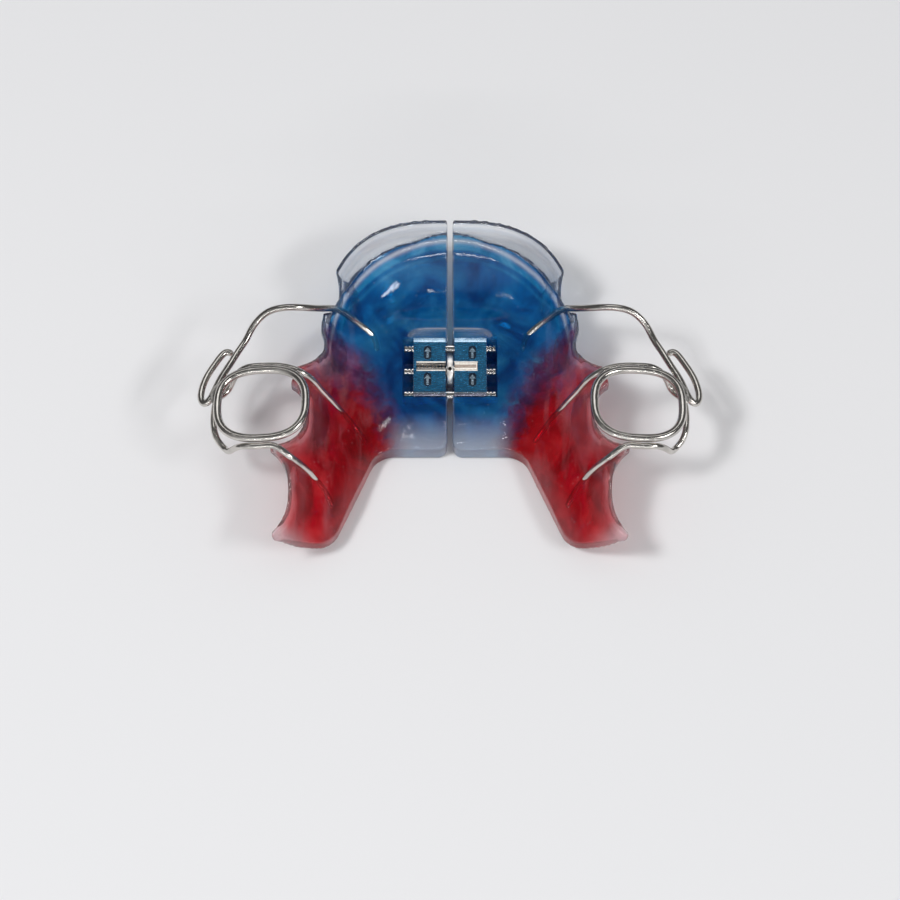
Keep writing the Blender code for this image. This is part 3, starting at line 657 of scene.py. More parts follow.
def dress(item, *materials):
    item.data.materials.clear()
    for material in materials:
        item.data.materials.append(material)
    return item


def carry(item, slot, body, *nodes):
    """Attaches a finished piece to its body's empty and hides the CAD parts it stands for."""
    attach(item, body)
    if nodes:
        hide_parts(*nodes)
    return item


# Materials


class Nodes:
    """Node tree of a material or a world, with short names for what repeats."""

    def __init__(self, owner):
        owner.use_nodes = True
        self.tree = owner.node_tree

    def put(self, node, **inputs):
        """Sets or links inputs of a node; an underscore stands for a space."""
        for name, value in inputs.items():
            socket = node.inputs[name.replace("_", " ")]
            if isinstance(value, bpy.types.NodeSocket):
                self.tree.links.new(value, socket)
            elif socket.type == "RGBA":
                socket.default_value = (*value, 1.0)
            else:
                socket.default_value = value
        return node

    def add(self, kind, **inputs):
        return self.put(self.tree.nodes.new(f"ShaderNode{kind}"), **inputs)

    def place(self, scale=(1.0, 1.0, 1.0), source="Object"):
        """Texture coordinates; a scale under 1 draws a pattern out."""
        vector = self.add("TexCoord").outputs[source]
        return self.add("Mapping", Vector=vector, Scale=scale).outputs["Vector"]

    def noise(self, vector, scale, detail=4.0, roughness=0.55, distortion=0.0):
        return self.add("TexNoise", Vector=vector, Scale=scale, Detail=detail, Roughness=roughness,
                        Distortion=distortion).outputs["Fac"]

    def ramp(self, factor, *stops):
        node = self.add("ValToRGB", Fac=factor)
        elements = node.color_ramp.elements
        while len(elements) < len(stops):
            elements.new(0.5)
        for element, (place, colour) in zip(elements, stops):
            element.position = place
            element.color = (*colour, 1.0)
        return node.outputs["Color"]

    def mix(self, factor, first, second):
        node = self.add("Mix")
        node.data_type = "RGBA"
        self.put(node, Factor=factor)
        for value, socket in ((first, node.inputs[6]), (second, node.inputs[7])):
            if isinstance(value, tuple):
                socket.default_value = (*value, 1.0)
            else:
                self.tree.links.new(value, socket)
        return node.outputs[2]

    def map(self, value, low, high, new_low=0.0, new_high=1.0):
        return self.add("MapRange", Value=value, From_Min=low, From_Max=high, To_Min=new_low,
                        To_Max=new_high).outputs["Result"]

    def math(self, operation, first, second, clamp=True):
        node = self.add("Math")
        node.operation = operation
        node.use_clamp = clamp
        for value, socket in zip((first, second), node.inputs):
            if isinstance(value, float):
                socket.default_value = value
            else:
                self.tree.links.new(value, socket)
        return node.outputs["Value"]


class Surface(Nodes):
    """New material with one Principled BSDF."""

    def __init__(self, name, **inputs):
        self.material = bpy.data.materials.new(name)
        super().__init__(self.material)
        self.shader = self.tree.nodes["Principled BSDF"]
        self.set(**inputs)

    def set(self, **inputs):
        self.put(self.shader, **inputs)

    def bump(self, height, strength, distance):
        """Adds a bump to those that the surface has."""
        normal = self.shader.inputs["Normal"]
        node = self.add("Bump", Height=height, Strength=strength, Distance=distance)
        if normal.is_linked:
            self.put(node, Normal=normal.links[0].from_socket)
        self.set(Normal=node.outputs["Normal"])


def acrylic_material():
    """Cast acrylic: the zones come from the mesh, the mottling of the colours from noise. The pale zone is
    partly thinner acrylic and partly painted highlight lines.
    """
    skin = Surface("cast_acrylic", IOR=1.49)
    place = skin.place()
    zones = skin.add("Attribute")
    zones.attribute_name = "zones"
    split = skin.add("SeparateColor", Color=zones.outputs["Color"])
    red, clear, pale = (split.outputs[name] for name in ("Red", "Green", "Blue"))

    clouds = skin.noise(place, 260, detail=5.0, distortion=0.6)
    pools = skin.noise(place, 170, distortion=1.0)
    # Painted reflection: pink streaks drawn out along Y over the wine colour, standing for the wings'
    # reflection bands
    reflection_streaks = skin.noise(skin.place(scale=(1.0, 0.22, 0.5)), 620, distortion=0.8)
    veins = skin.noise(place, 700, detail=6.0, roughness=0.65, distortion=1.2)
    blue = skin.ramp(pools, (0.36, (0.0, 0.060, 0.25)), (0.48, (0.001, 0.155, 0.46)),
                     (0.60, (0.02, 0.27, 0.60)), (0.72, (0.09, 0.42, 0.72)))
    violet = skin.ramp(clouds, (0.32, (0.08, 0.015, 0.08)), (0.52, (0.17, 0.045, 0.16)),
                       (0.70, (0.32, 0.16, 0.33)))
    wine = skin.ramp(clouds, (0.32, (0.26, 0.0, 0.004)), (0.52, (0.56, 0.0, 0.010)),
                     (0.70, (0.78, 0.03, 0.04)))
    reflection_streaked = skin.mix(skin.map(reflection_streaks, 0.50, 0.70, 0.0, 0.60), wine, (0.60, 0.17, 0.20))

    drift = skin.math("MULTIPLY", skin.map(veins, 0.3, 0.7, -0.22, 0.22), skin.map(red, 0.0, 0.30),
                      clamp=False)
    shared = skin.math("ADD", red, drift)
    bluish = skin.mix(skin.map(shared, 0.05, 0.42), blue, violet)
    dyed = skin.mix(skin.map(shared, 0.50, 0.90), bluish, reflection_streaked)
    dots = skin.add("TexVoronoi", Vector=place, Scale=1500).outputs["Distance"]
    crowd = skin.map(skin.noise(place, 420), 0.46, 0.62, 0.0, 0.65)
    bubbles = skin.math("MULTIPLY", crowd, skin.map(dots, 0.15, 0.05))
    bubbled = skin.mix(bubbles, dyed, (0.75, 0.78, 0.86))
    # The pale share, partly thinner acrylic and partly painted highlight lines, lightens the colour
    thinned_and_highlit = skin.mix(pale, bubbled, (0.88, 0.89, 0.93))
    smear = skin.noise(place, 900, detail=3.0)
    skin.set(Base_Color=skin.mix(clear, thinned_and_highlit, (0.93, 0.94, 0.95)),
             Transmission_Weight=skin.map(clear, 0.0, 1.0, 0.72, 0.97),
             Roughness=skin.map(smear, 0.35, 0.75, 0.03, 0.11))
    skin.bump(clouds, 0.25, 0.3 * MM)
    skin.bump(veins, 0.12, 0.05 * MM)
    return skin.material


def steel_material(name, tone, lines_scale, stretch=(1.0, 1.0, 1.0), source="Object", roughest=0.27):
    """Polished steel with fine lines, which run along a drawn wire by its UV map."""
    steel = Surface(name, Metallic=1.0)
    lines = steel.noise(steel.place(stretch, source), lines_scale, detail=5.0)
    stains = steel.noise(steel.place(), 500)
    dark = tuple(0.72 * channel for channel in tone)
    steel.set(Base_Color=steel.ramp(stains, (0.35, dark), (0.62, tone)),
              Roughness=steel.map(lines, 0.3, 0.75, 0.37 * roughest, roughest))
    steel.bump(lines, 0.18, 0.02 * MM)
    return steel.material


def blue_metal_material(name, dark, light):
    """Coated metal with a fine milled grain along the screw."""
    metal = Surface(name, Metallic=0.9)
    grain = metal.noise(metal.place(scale=(0.15, 1.0, 1.0)), 9000)
    clouds = metal.noise(metal.place(), 900)
    metal.set(Base_Color=metal.ramp(clouds, (0.3, dark), (0.7, light)),
              Roughness=metal.map(grain, 0.3, 0.7, 0.22, 0.32))
    metal.bump(grain, 0.06, 0.01 * MM)
    return metal.material


def grained_material(name, metallic, grain, spread, colours, roughness, bump):
    """Surface whose colour, roughness and bump all follow one fine grain."""
    surface = Surface(name, Metallic=metallic)
    scale, detail = grain
    low, high = spread
    lumps = surface.noise(surface.place(), scale, detail=detail)
    surface.set(Base_Color=surface.ramp(lumps, (low, colours[0]), (high, colours[1])),
                Roughness=surface.map(lumps, 0.3, 0.7, *roughness))
    surface.bump(lumps, *bump)
    return surface.material


def recess_material():
    """Dark blue-black floor of the engraved marks."""
    return grained_material("engraved_recess", 0.5, (9000, 5.0), (0.3, 0.7),
                            ((0.004, 0.010, 0.022), (0.02, 0.04, 0.07)), (0.35, 0.6), (0.4, 0.02 * MM))


def solder_material():
    return grained_material("flowed_solder", 1.0, (3500, 6.0), (0.3, 0.7),
                            ((0.34, 0.32, 0.30), (0.68, 0.66, 0.62)), (0.22, 0.48), (0.5, 0.08 * MM))


def plastic_material(name, dark, light):
    return grained_material(name, 0.0, (5000, 5.0), (0.35, 0.65), (dark, light), (0.30, 0.5),
                            (0.2, 0.02 * MM))


# Plates


def plate_outline():
    slit_x = SLIT_WIDTH / 2
    corners = [Vector(corner) for corner in (
        (slit_x, FRONT_Y), (slit_x, REAR_EDGE_Y), (THROAT_X, REAR_EDGE_Y),
        (WING_INNER_X, WING_INNER_END_Y), (WING_TIP_X, WING_END_Y))]
    radii = (REAR_CORNER_RADIUS, THROAT_RADIUS, WING_CORNER_RADIUS)
    outline = [corners[0]]
    for before, corner, after, radius in zip(corners, corners[1:], corners[2:], radii):
        outline += rounded_corner(before, corner, after, radius, steps=16)
    side_end = REAR_SCALLOP.y
    side_start = ARM_SCALLOP.y - ARM_SCALLOP.half_y / 3
    outline += [
        corners[-1],
        (REAR_SCALLOP.x, WING_END_Y),
        (arch_half_width(side_end) + REAR_TIP_DEPTH, side_end),
        (arch_half_width(side_start) + FRONT_TIP_DEPTH, side_start),
        (ARCH_HALF_WIDTH, side_start),
    ]
    rim = [superellipse_point(*ARCH, 90 * step / RIM_STEPS) for step in range(RIM_STEPS)]
    return outline + [point for point in rim if point[1] > side_start and point[0] > 2 * slit_x]


def margin_cutter(side):
    """Takes the clear band down by its step, outside the border of the thick middle."""
    above = grid_solid("margin", side, (-CUT_MARGIN, MARGIN_END_Y),
                       (ARCH_HALF_WIDTH + CUT_MARGIN, FRONT_Y + CUT_MARGIN),
                       lambda x, y: tongue_height(x, y) - MARGIN_STEP + rim_lip(x, y),
                       lambda x, y: TOP_Z)
    middle = [(-2 * CUT_MARGIN, ARCH_TURN_Y), (-2 * CUT_MARGIN, FRONT_Y - MARGIN_FRONT),
              *border_curve()]
    return boolean(above, [prism(sided(side, middle), 0.0, TOP_Z + CUT_MARGIN)])


def ledge_cutter(side):
    """Ledge round the mouth of the pocket, with a sloping wall."""
    rings = []
    for height, grow in ((PAD_HEIGHT - LEDGE_DEPTH, 0.0), (PAD_HEIGHT + LEDGE_DEPTH, 2 * LEDGE_SLOPE)):
        ledge_x = HOUSING_OUTER_X + LEDGE_MARGIN / 2 + grow
        ledge_y = SCREW_Y + HOUSING_HALF_LENGTH + POCKET_FIT + LEDGE_MARGIN + grow
        corner = [Vector((ledge_x, ledge_y - 2 * LEDGE_MARGIN)), Vector((ledge_x, ledge_y)),
                  Vector((-CUT_MARGIN, ledge_y))]
        outline = [(-CUT_MARGIN, SCREW_Y), (ledge_x, SCREW_Y),
                   *rounded_corner(*corner, LEDGE_MARGIN + grow, steps=8), (-CUT_MARGIN, ledge_y)]
        rings.append([(side * x, y, height) for x, y in outline])
    shape = loft(rings)
    bmesh.ops.triangulate(shape, faces=shape.faces)
    return object_from_bmesh("ledge", shape)


def wing_tip_cutter(side):
    """Takes off the sharp corner between the wing's end and the rear scallop."""
    centre_y = WING_END_Y + TIP_RADIUS
    low = WING_TIP_X - 3 * MM
    high = REAR_SCALLOP.x
    for _ in range(40):
        centre_x = (low + high) / 2
        if superellipse_distance(centre_x, centre_y, REAR_SCALLOP) > TIP_RADIUS:
            low = centre_x
        else:
            high = centre_x
    arc = [(centre_x + TIP_RADIUS * math.cos(math.radians(turn)),
            centre_y + TIP_RADIUS * math.sin(math.radians(turn))) for turn in range(-90, 41, 5)]
    outline = [(centre_x, WING_END_Y - CUT_MARGIN), *arc, (REAR_SCALLOP.x, arc[-1][1]),
               (REAR_SCALLOP.x, WING_END_Y - CUT_MARGIN)]
    return prism(sided(side, outline), -CUT_MARGIN, TOP_Z)


def polish(item):
    """Rounds every edge a little, as a felt wheel does."""
    remesh = item.modifiers.new("voxels", "REMESH")
    remesh.mode = "VOXEL"
    remesh.voxel_size = VOXEL_SIZE
    smooth = item.modifiers.new("felt", "SMOOTH")
    smooth.factor = 0.5
    smooth.iterations = POLISH_PASSES
    return apply_modifiers(item)


def zone_shares(x, y):
    """Shares of red, clear, and pale colour (thinner acrylic and painted highlight lines) at a plan point
    of the right half.
    """
    rim = rim_distance(x, y)
    border = border_distance(x, y)
    red_edge = RED_EDGE_X + RED_EDGE_SLOPE * (y - RED_EDGE_Y)
    red = smoothstep(red_edge + RED_BLEND[0], red_edge + RED_BLEND[1], x)
    red *= (FRONT_FADE_SHARE * smoothstep(*FRONT_FADE, y)
            + (1 - FRONT_FADE_SHARE) * smoothstep(*REAR_FADE, y))

    band = smoothstep(*CLEAR_SIDE, border) * smoothstep(*CLEAR_START, y)
    # Painted highlight: a pale line along the clear band's lip, where the band's own clearness gives way
    # to it
    band_lip_highlight = band * bell(rim, *BAND_LIP_HIGHLIGHT)
    clear = max(band - 0.75 * band_lip_highlight, 0.75 * smoothstep(*RIM_FILM, rim), 0.7 * smoothstep(*SLIT_FILM, x))

    # Painted highlight round the mouth of the screw's pocket
    pocket_highlight = bell(superellipse_distance(x, y, POCKET_HIGHLIGHT_LINE), 0.0, POCKET_HIGHLIGHT_WIDTH)
    across = WING_INNER_X - THROAT_X
    along = WING_INNER_END_Y - REAR_EDGE_Y
    inner = ((y - REAR_EDGE_Y) * across - (x - THROAT_X) * along) / math.hypot(across, along)
    pale = max(
        band_lip_highlight,
        # Border's bead: thinner colour there, made into a painted highlight line
        0.60 * bell(border, *BORDER_LIP_HIGHLIGHT) * smoothstep(*BORDER_LIP_HIGHLIGHT_START, y),
        0.95 * pocket_highlight * smoothstep(*POCKET_HIGHLIGHT_START, y),
        0.75 * smoothstep(*REAR_LENGTH, y - REAR_EDGE_Y) * smoothstep(*REAR_HALF_WIDTH, x),
        0.60 * smoothstep(*TIP_LENGTH, y) * smoothstep(*TIP_WIDTH, x),
        0.12 * smoothstep(*INNER_EDGE_WIDTH, inner) * smoothstep(*INNER_EDGE_START, y),
        0.13 * smoothstep(*THIN_RIM, rim) * smoothstep(*THIN_RIM_START, y),
    )
    return red, clear, pale


def score(item, x):
    """Row of vertices along the slit, so that its clear film ends there on large faces too."""
    shape = bmesh.new()
    shape.from_mesh(item.data)
    bmesh.ops.bisect_plane(shape, geom=[*shape.verts, *shape.edges, *shape.faces],
                           plane_co=(x, 0.0, 0.0), plane_no=(1.0, 0.0, 0.0))
    shape.to_mesh(item.data)
    shape.free()


def paint_zones(item):
    attribute = item.data.color_attributes.new("zones", "FLOAT_COLOR", "POINT")
    values = np.ones((len(item.data.vertices), 4), np.float32)
    for index, vertex in enumerate(item.data.vertices):
        values[index, :3] = zone_shares(abs(vertex.co.x), vertex.co.y)
    attribute.data.foreach_set("color", values.ravel())


def build_plate(side, material):
    seed = 3.0 + side
    plate = grid_solid(f"cast_plate_{SIDE_NAMES[side]}", side,
                       (-CUT_MARGIN, WING_END_Y - CUT_MARGIN),
                       (REAR_SCALLOP.x + CUT_MARGIN, FRONT_Y + CUT_MARGIN),
                       lambda x, y: finished_vault_height(x, y, seed),
                       lambda x, y: finished_tongue_height(x, y, seed))
    boolean(plate, [prism(sided(side, plate_outline()), -CUT_MARGIN, TOP_Z)], "INTERSECT")
    cutters = []
    for scallop in SCALLOPS:
        outline = [superellipse_point(*scallop, angle) for angle in range(0, 360, 3)]
        cutters.append(prism(sided(side, outline), -CUT_MARGIN, TOP_Z))
    boolean(plate, [*cutters, margin_cutter(side), wing_tip_cutter(side)])
    polish(plate)
    pocket_y = HOUSING_HALF_LENGTH + POCKET_FIT
    pocket = sided_box(side, (-CUT_MARGIN, SCREW_Y - pocket_y, HOUSING_BOTTOM_Z - POCKET_FIT),
                       (SHAFT_END_X + POCKET_FIT, SCREW_Y + pocket_y, TOP_Z))
    relief = rod((-HOUSING_INNER_X, SCREW_Y, SCREW_Z), (HOUSING_INNER_X, SCREW_Y, SCREW_Z),
                 HUB_RADIUS + POCKET_FIT)
    boolean(plate, [pocket, relief, ledge_cutter(side)], solver="MANIFOLD")
    score(plate, side * SLIT_FILM_END)
    paint_zones(plate)
    shade(dress(plate, material), 50)
    return carry(plate, "acrylic", f"{SIDE_NAMES[side]}_half", f"plate_{SIDE_NAMES[side]}")


# Expansion screw


def on_axis(item, offset=0.0):
    item.location = (0.0, SCREW_Y + offset, SCREW_Z)
    return item


def turned(name, profile, sides=ROUND_SIDES):
    """Solid of revolution about the X axis, from (x, radius) points."""
    rings = []
    for x, radius in profile:
        turns = [2 * math.pi * k / sides for k in range(sides if radius else 1)]
        rings.append([(x, radius * math.cos(turn), radius * math.sin(turn)) for turn in turns])
    return object_from_bmesh(name, loft(rings))


def ringed_end(radius):
    """Shaft end with two rounded grooves and a rounded tip, from its tip inwards."""
    points = [(SHAFT_END_X, 0.0)]
    for step in range(4, -1, -1):
        turn = math.pi / 2 * step / 4
        points.append((SHAFT_END_X - TIP_ROUNDING * (1 - math.sin(turn)),
                       radius - TIP_ROUNDING * (1 - math.cos(turn))))
    for share in RING_GROOVE_PLACES:
        middle = SHAFT_END_X - share * (SHAFT_END_X - HOUSING_OUTER_X)
        for step in range(9):
            turn = math.pi * step / 8
            points.append((middle + RING_GROOVE_HALF_WIDTH * math.cos(turn),
                           radius - RING_GROOVE_DEPTH * math.sin(turn)))
    return points


def mirrored(points):
    return points + [(-x, radius) for x, radius in reversed(points)]


def finish_steel(item, material, body, *nodes):
    return carry(dress(shade(item, 40), material), "steel", body, *nodes)


def build_pin(place, offset, material):
    pin = on_axis(turned(f"turned_guide_pin_{place}", mirrored(ringed_end(PIN_RADIUS))), offset)
    return finish_steel(pin, material, "screw_core", f"guide_pin_{place}")


def thread_mesh(side):
    """Ridged rod with the thread's true pitch; the two sides have opposite hands."""
    start = HUB_WIDTH / 2
    end = HOUSING_OUTER_X - THREAD_END_GAP
    steps = round((end - start) / THREAD_PITCH * STEPS_PER_PITCH)
    rings = []
    for step in range(steps + 1):
        x = start + (end - start) * step / steps
        ring = []
        for k in range(THREAD_SIDES):
            turn = 2 * math.pi * k / THREAD_SIDES
            phase = (x / THREAD_PITCH - side * k / THREAD_SIDES) % 1.0
            ridge = min(1.0, THREAD_FLANK * abs(2 * phase - 1))
            radius = THREAD_RADIUS - THREAD_DEPTH * (1 - ridge)
            ring.append((side * x, radius * math.cos(turn), radius * math.sin(turn)))
        rings.append(ring)
    return object_from_bmesh(f"thread_{SIDE_NAMES[side]}", loft(rings))


def build_spindle(material, hub_material):
    hub_x = HUB_WIDTH / 2
    hub_profile = [(hub_x, 0.0), (hub_x, HUB_RADIUS - HUB_CHAMFER),
                   (hub_x - HUB_EDGE, HUB_RADIUS - HUB_EDGE), (hub_x - HUB_CHAMFER, HUB_RADIUS)]
    hub = on_axis(turned("key_hub", mirrored(hub_profile), sides=96))
    middle = Vector((0.0, SCREW_Y, SCREW_Z))
    cutters = []
    for tilt in (KEY_HOLE_TILT, KEY_HOLE_TILT + math.pi / 2):
        reach = (HUB_RADIUS + CUT_MARGIN) * Vector((0.0, -math.sin(tilt), math.cos(tilt)))
        cutters.append(rod(middle - reach, middle + reach, KEY_HOLE_RADIUS, sides=32))
    pieces = [finish_steel(boolean(hub, cutters), hub_material, "spindle", "spindle")]
    inner_x = HOUSING_OUTER_X - TIP_OVERLAP
    profile = [*ringed_end(SPINDLE_END_RADIUS), (inner_x, SPINDLE_END_RADIUS), (inner_x, 0.0)]
    for side in (LEFT, RIGHT):
        thread = thread_mesh(side)
        tip = turned(f"spindle_tip_{SIDE_NAMES[side]}", sided(side, profile))
        pieces += [finish_steel(on_axis(item), material, "spindle") for item in (thread, tip)]
    return pieces


def slot_end_x(side):
    if side == RIGHT:
        return HOUSING_INNER_X + INSERT_LENGTH
    return HOUSING_OUTER_X - SLOT_END_WALL


def stadium(x, y):
    """Outline of a mark's recess, with two half-round ends, lying along Y."""
    points = []
    for end, start in ((1, 0.0), (-1, math.pi)):
        for step in range(13):
            turn = math.pi * step / 12 + start
            points.append((x + RECESS_RADIUS * math.cos(turn),
                           y + end * RECESS_HALF_LENGTH + RECESS_RADIUS * math.sin(turn)))
    return points


def arrow(x, y):
    """Plain arrow that points to the front, the way the key is turned."""
    shares = [(0.0, 1.0), (0.55, 0.2), (0.2, 0.2), (0.2, -1.0), (-0.2, -1.0), (-0.2, 0.2), (-0.55, 0.2)]
    return [(x + ARROW_SIZE * across, y + ARROW_SIZE * along) for across, along in shares]


def front_bevel(corner):
    """Points of the front top corner of a half body: a rounding that runs into a flat bevel."""
    foot = corner - Vector((0.0, HOUSING_ROUNDING))
    knee = corner - Vector(BEVEL_KNEE)
    slope = BEVEL_KNEE[1] / (FRONT_BEVEL_WIDTH - BEVEL_KNEE[0])
    bend = corner - Vector((0.0, slope * FRONT_BEVEL_WIDTH))
    shares = [step / 8 for step in range(9)]
    points = [foot.lerp(bend, share).lerp(bend.lerp(knee, share), share) for share in shares]
    return points + [corner - Vector((FRONT_BEVEL_WIDTH, 0.0))]


def half_body_blank(side):
    """Block of a half body, rounded along X and bevelled at its ends."""
    half_y = HOUSING_HALF_LENGTH
    half_z = HOUSING_HEIGHT / 2
    corners = [Vector(corner) for corner in
               ((-half_y, -half_z), (half_y, -half_z), (half_y, half_z), (-half_y, half_z))]
    outline = []
    for index, corner in enumerate(corners):
        if min(corner) > 0:
            outline += front_bevel(corner)
        else:
            outline += rounded_corner(corners[index - 1], corner, corners[(index + 1) % 4],
                                      HOUSING_ROUNDING, steps=12)
    rings = []
    for x, inset in ((HOUSING_INNER_X, HOUSING_BEVEL), (HOUSING_INNER_X + HOUSING_BEVEL, 0.0),
                     (HOUSING_OUTER_X - HOUSING_BEVEL, 0.0), (HOUSING_OUTER_X, HOUSING_BEVEL)):
        rings.append([(side * x, SCREW_Y + y * (1 - inset / half_y), SCREW_Z + z * (1 - inset / half_z))
                      for y, z in outline])
    return object_from_bmesh(f"half_body_{SIDE_NAMES[side]}", loft(rings))


def half_body_cutters(side):
    """Bores, slot with its step, and two recesses with an arrow left standing in each."""
    cutters = []
    for offset, radius in ((PIN_OFFSET, PIN_RADIUS), (-PIN_OFFSET, PIN_RADIUS), (0.0, THREAD_RADIUS)):
        cutters.append(rod((0.0, SCREW_Y + offset, SCREW_Z),
                           (side * (HOUSING_OUTER_X + CUT_MARGIN), SCREW_Y + offset, SCREW_Z),
                           radius + RUNNING_FIT))
    for half_width, bottom in ((SLOT_WIDTH / 2, SCREW_Z),
                               (SLOT_WIDTH / 2 + SLOT_STEP_WIDTH, HOUSING_TOP_Z - SLOT_STEP_DEPTH)):
        cutters.append(sided_box(side, (HOUSING_INNER_X - CUT_MARGIN, SCREW_Y - half_width, bottom),
                                 (slot_end_x(side), SCREW_Y + half_width, HOUSING_TOP_Z + CUT_MARGIN)))
    x = side * (HOUSING_INNER_X + RECESS_PLACE * (HOUSING_OUTER_X - HOUSING_INNER_X))
    for y in (SCREW_Y + RECESS_OFFSET, SCREW_Y - RECESS_OFFSET):
        recess = prism(stadium(x, y), HOUSING_TOP_Z - RECESS_DEPTH, HOUSING_TOP_Z + CUT_MARGIN)
        mark = prism(arrow(x, y), HOUSING_TOP_Z - 0.2 * MM, HOUSING_TOP_Z - ARROW_SUNK)
        cutters.append(boolean(recess, [mark]))
    return cutters


def half_body_finish(face):
    """Place of a face's finish among those of a half body, or None where it keeps what it has; the bevels'
    and the slot step's finishes are painted light.
    """
    across = abs(face.center.y - SCREW_Y)
    sunk = HOUSING_TOP_Z - face.center.z
    if abs(sunk - RECESS_DEPTH) < 2 * SAME_HEIGHT and abs(face.normal.z) > 0.9:
        return RECESSED
    # Arrow tops: light cut metal, which also serves as a painted highlight on the marks
    if abs(sunk - ARROW_SUNK) < SAME_HEIGHT and face.normal.z > 0.9:
        return CUT_AND_HIGHLIGHT
    # The slot's shallow step takes the pale plastic as a painted highlight along the slot's edges
    in_slot = across < SLOT_WIDTH / 2 + SLOT_STEP_WIDTH + SAME_HEIGHT
    if in_slot and SLOT_STEP_DEPTH / 2 < sunk < HOUSING_HEIGHT / 2:
        return PAINTED_SLOT_HIGHLIGHT if sunk < 1.5 * SLOT_STEP_DEPTH else WORN
    # Rounded edges: front-facing faces take a painted highlight, rear-facing faces painted shade
    if sunk < HOUSING_ROUNDING and 0.15 < abs(face.normal.y) < 0.97:
        return CUT_AND_HIGHLIGHT if face.normal.y > 0 else PAINTED_SHADE
    return None


def build_housing(side, finishes):
    """Half body of the screw: coated, with worn edges and cut faces of their own, a painted highlight on
    the front bevel and painted shade on the rear bevel.
    """
    housing = boolean(half_body_blank(side), half_body_cutters(side))
    bevelled(dress(housing, *finishes), HOUSING_WEAR, segments=2, degrees=40, material=WORN)
    for face in housing.data.polygons:
        finish = half_body_finish(face)
        if finish is not None:
            face.material_index = finish
    shade(housing, 15)
    return carry(housing, "blue_metal", f"{SIDE_NAMES[side]}_half", f"screw_housing_{SIDE_NAMES[side]}")


def build_insert(material, groove_shade):
    """Friction insert that saddles the thread, with a shallow groove along its top, whose floor is painted
    darker as shade.
    """
    half_width = SLOT_WIDTH / 2 - INSERT_GAP
    insert = sided_box(RIGHT, (HOUSING_INNER_X + INSERT_GAP, SCREW_Y - half_width, SCREW_Z),
                       (slot_end_x(RIGHT) - INSERT_GAP, SCREW_Y + half_width, INSERT_TOP_Z),
                       name="brake_insert")
    saddle = rod((0.0, SCREW_Y, SCREW_Z), (HOUSING_OUTER_X, SCREW_Y, SCREW_Z),
                 THREAD_RADIUS + RUNNING_FIT + INSERT_GAP)
    groove = sided_box(RIGHT, (0.0, SCREW_Y - half_width / 2, INSERT_TOP_Z - GROOVE_DEPTH),
                       (slot_end_x(RIGHT) - GROOVE_END, SCREW_Y + half_width / 2, TOP_Z))
    boolean(insert, [saddle, groove])
    shade(bevelled(insert, INSERT_ROUNDING, segments=3, degrees=50), 40)
    dress(insert, material, groove_shade)
    # Painted shade: the groove's floor takes the darker plastic
    for face in insert.data.polygons:
        sunk = (INSERT_TOP_Z - face.center.z) / GROOVE_DEPTH
        if 0.3 < sunk < 1.1 and abs(face.center.y - SCREW_Y) < 0.6 * half_width:
            face.material_index = 1
    return carry(insert, "insert", "right_half", "friction_insert")


# Wirework


def beside_ring(degrees, out=0.0, up=0.0):
    """Point beside the centre line of the ring, which tilts down a little towards the cheek."""
    x, y = superellipse_point(RING_SCALLOP.x, RING_SCALLOP.y, RING_HALF_X + out, RING_HALF_Y + out,
                              RING_SCALLOP.power, degrees)
    return x, y, RING_HEIGHT - RING_TILT * (x - RING_SCALLOP.x) / RING_HALF_X + up


def knot_place():
    distance = RING_WIRE_RADIUS + ARM_WIRE_RADIUS + WIRE_GAP
    return beside_ring(KNOT_ANGLE, 0.77 * distance, -0.64 * distance)


def front_arm_path():
    """Front arm as in the CAD, with a tail nearer the surface: tail, crossing, outer run and loop."""
    arm = ARM_SCALLOP
    knot = Vector(knot_place())
    drop = ARM_CREST_HEIGHT - knot.z
    tail = tail_knots(arm, ARM_WIRE_RADIUS, (
        (-2.35, 0.81, None), (-2.23, 1.19, -1.1), (-1.93, 1.44, -0.1), (-1.63, 1.53, 0.6),
        (-1.30, 1.47, 1.6)))
    crossing_falls = ((-0.84, 1.13, 0.81), (-0.40, 0.94, 0.16), (0.0, 0.88, 0.0), (0.42, 0.79, 0.22),
                      (0.79, 0.44, 0.76), (0.98, -0.03, 1.13))
    crossing = [(*near(arm, across, along), ARM_CREST_HEIGHT - fall * drop)
                for across, along, fall in crossing_falls]
    outer_shares = ((-0.39, 0.84, -0.045), (-0.24, 0.55, -0.045), (-0.10, 0.27, -0.015),
                    (0.0, 0.0, 0.0), (0.06, -0.12, -0.045))
    outer_run = [knot + LOOP_LENGTH * Vector(share) for share in outer_shares]
    loop_shares = ((0.72, -0.18), (1.00, -0.06), (0.75, 0.28), (0.08, 0.58), (-0.54, 0.80),
                   (-0.85, 0.86), (-1.02, 0.81))
    loop = [(knot.x + across * LOOP_REACH, knot.y + along * LOOP_LENGTH, knot.z - 2 * ARM_WIRE_RADIUS)
            for across, along in loop_shares]
    return relaxed(smooth_path([*tail, *crossing, *outer_run, *loop]))


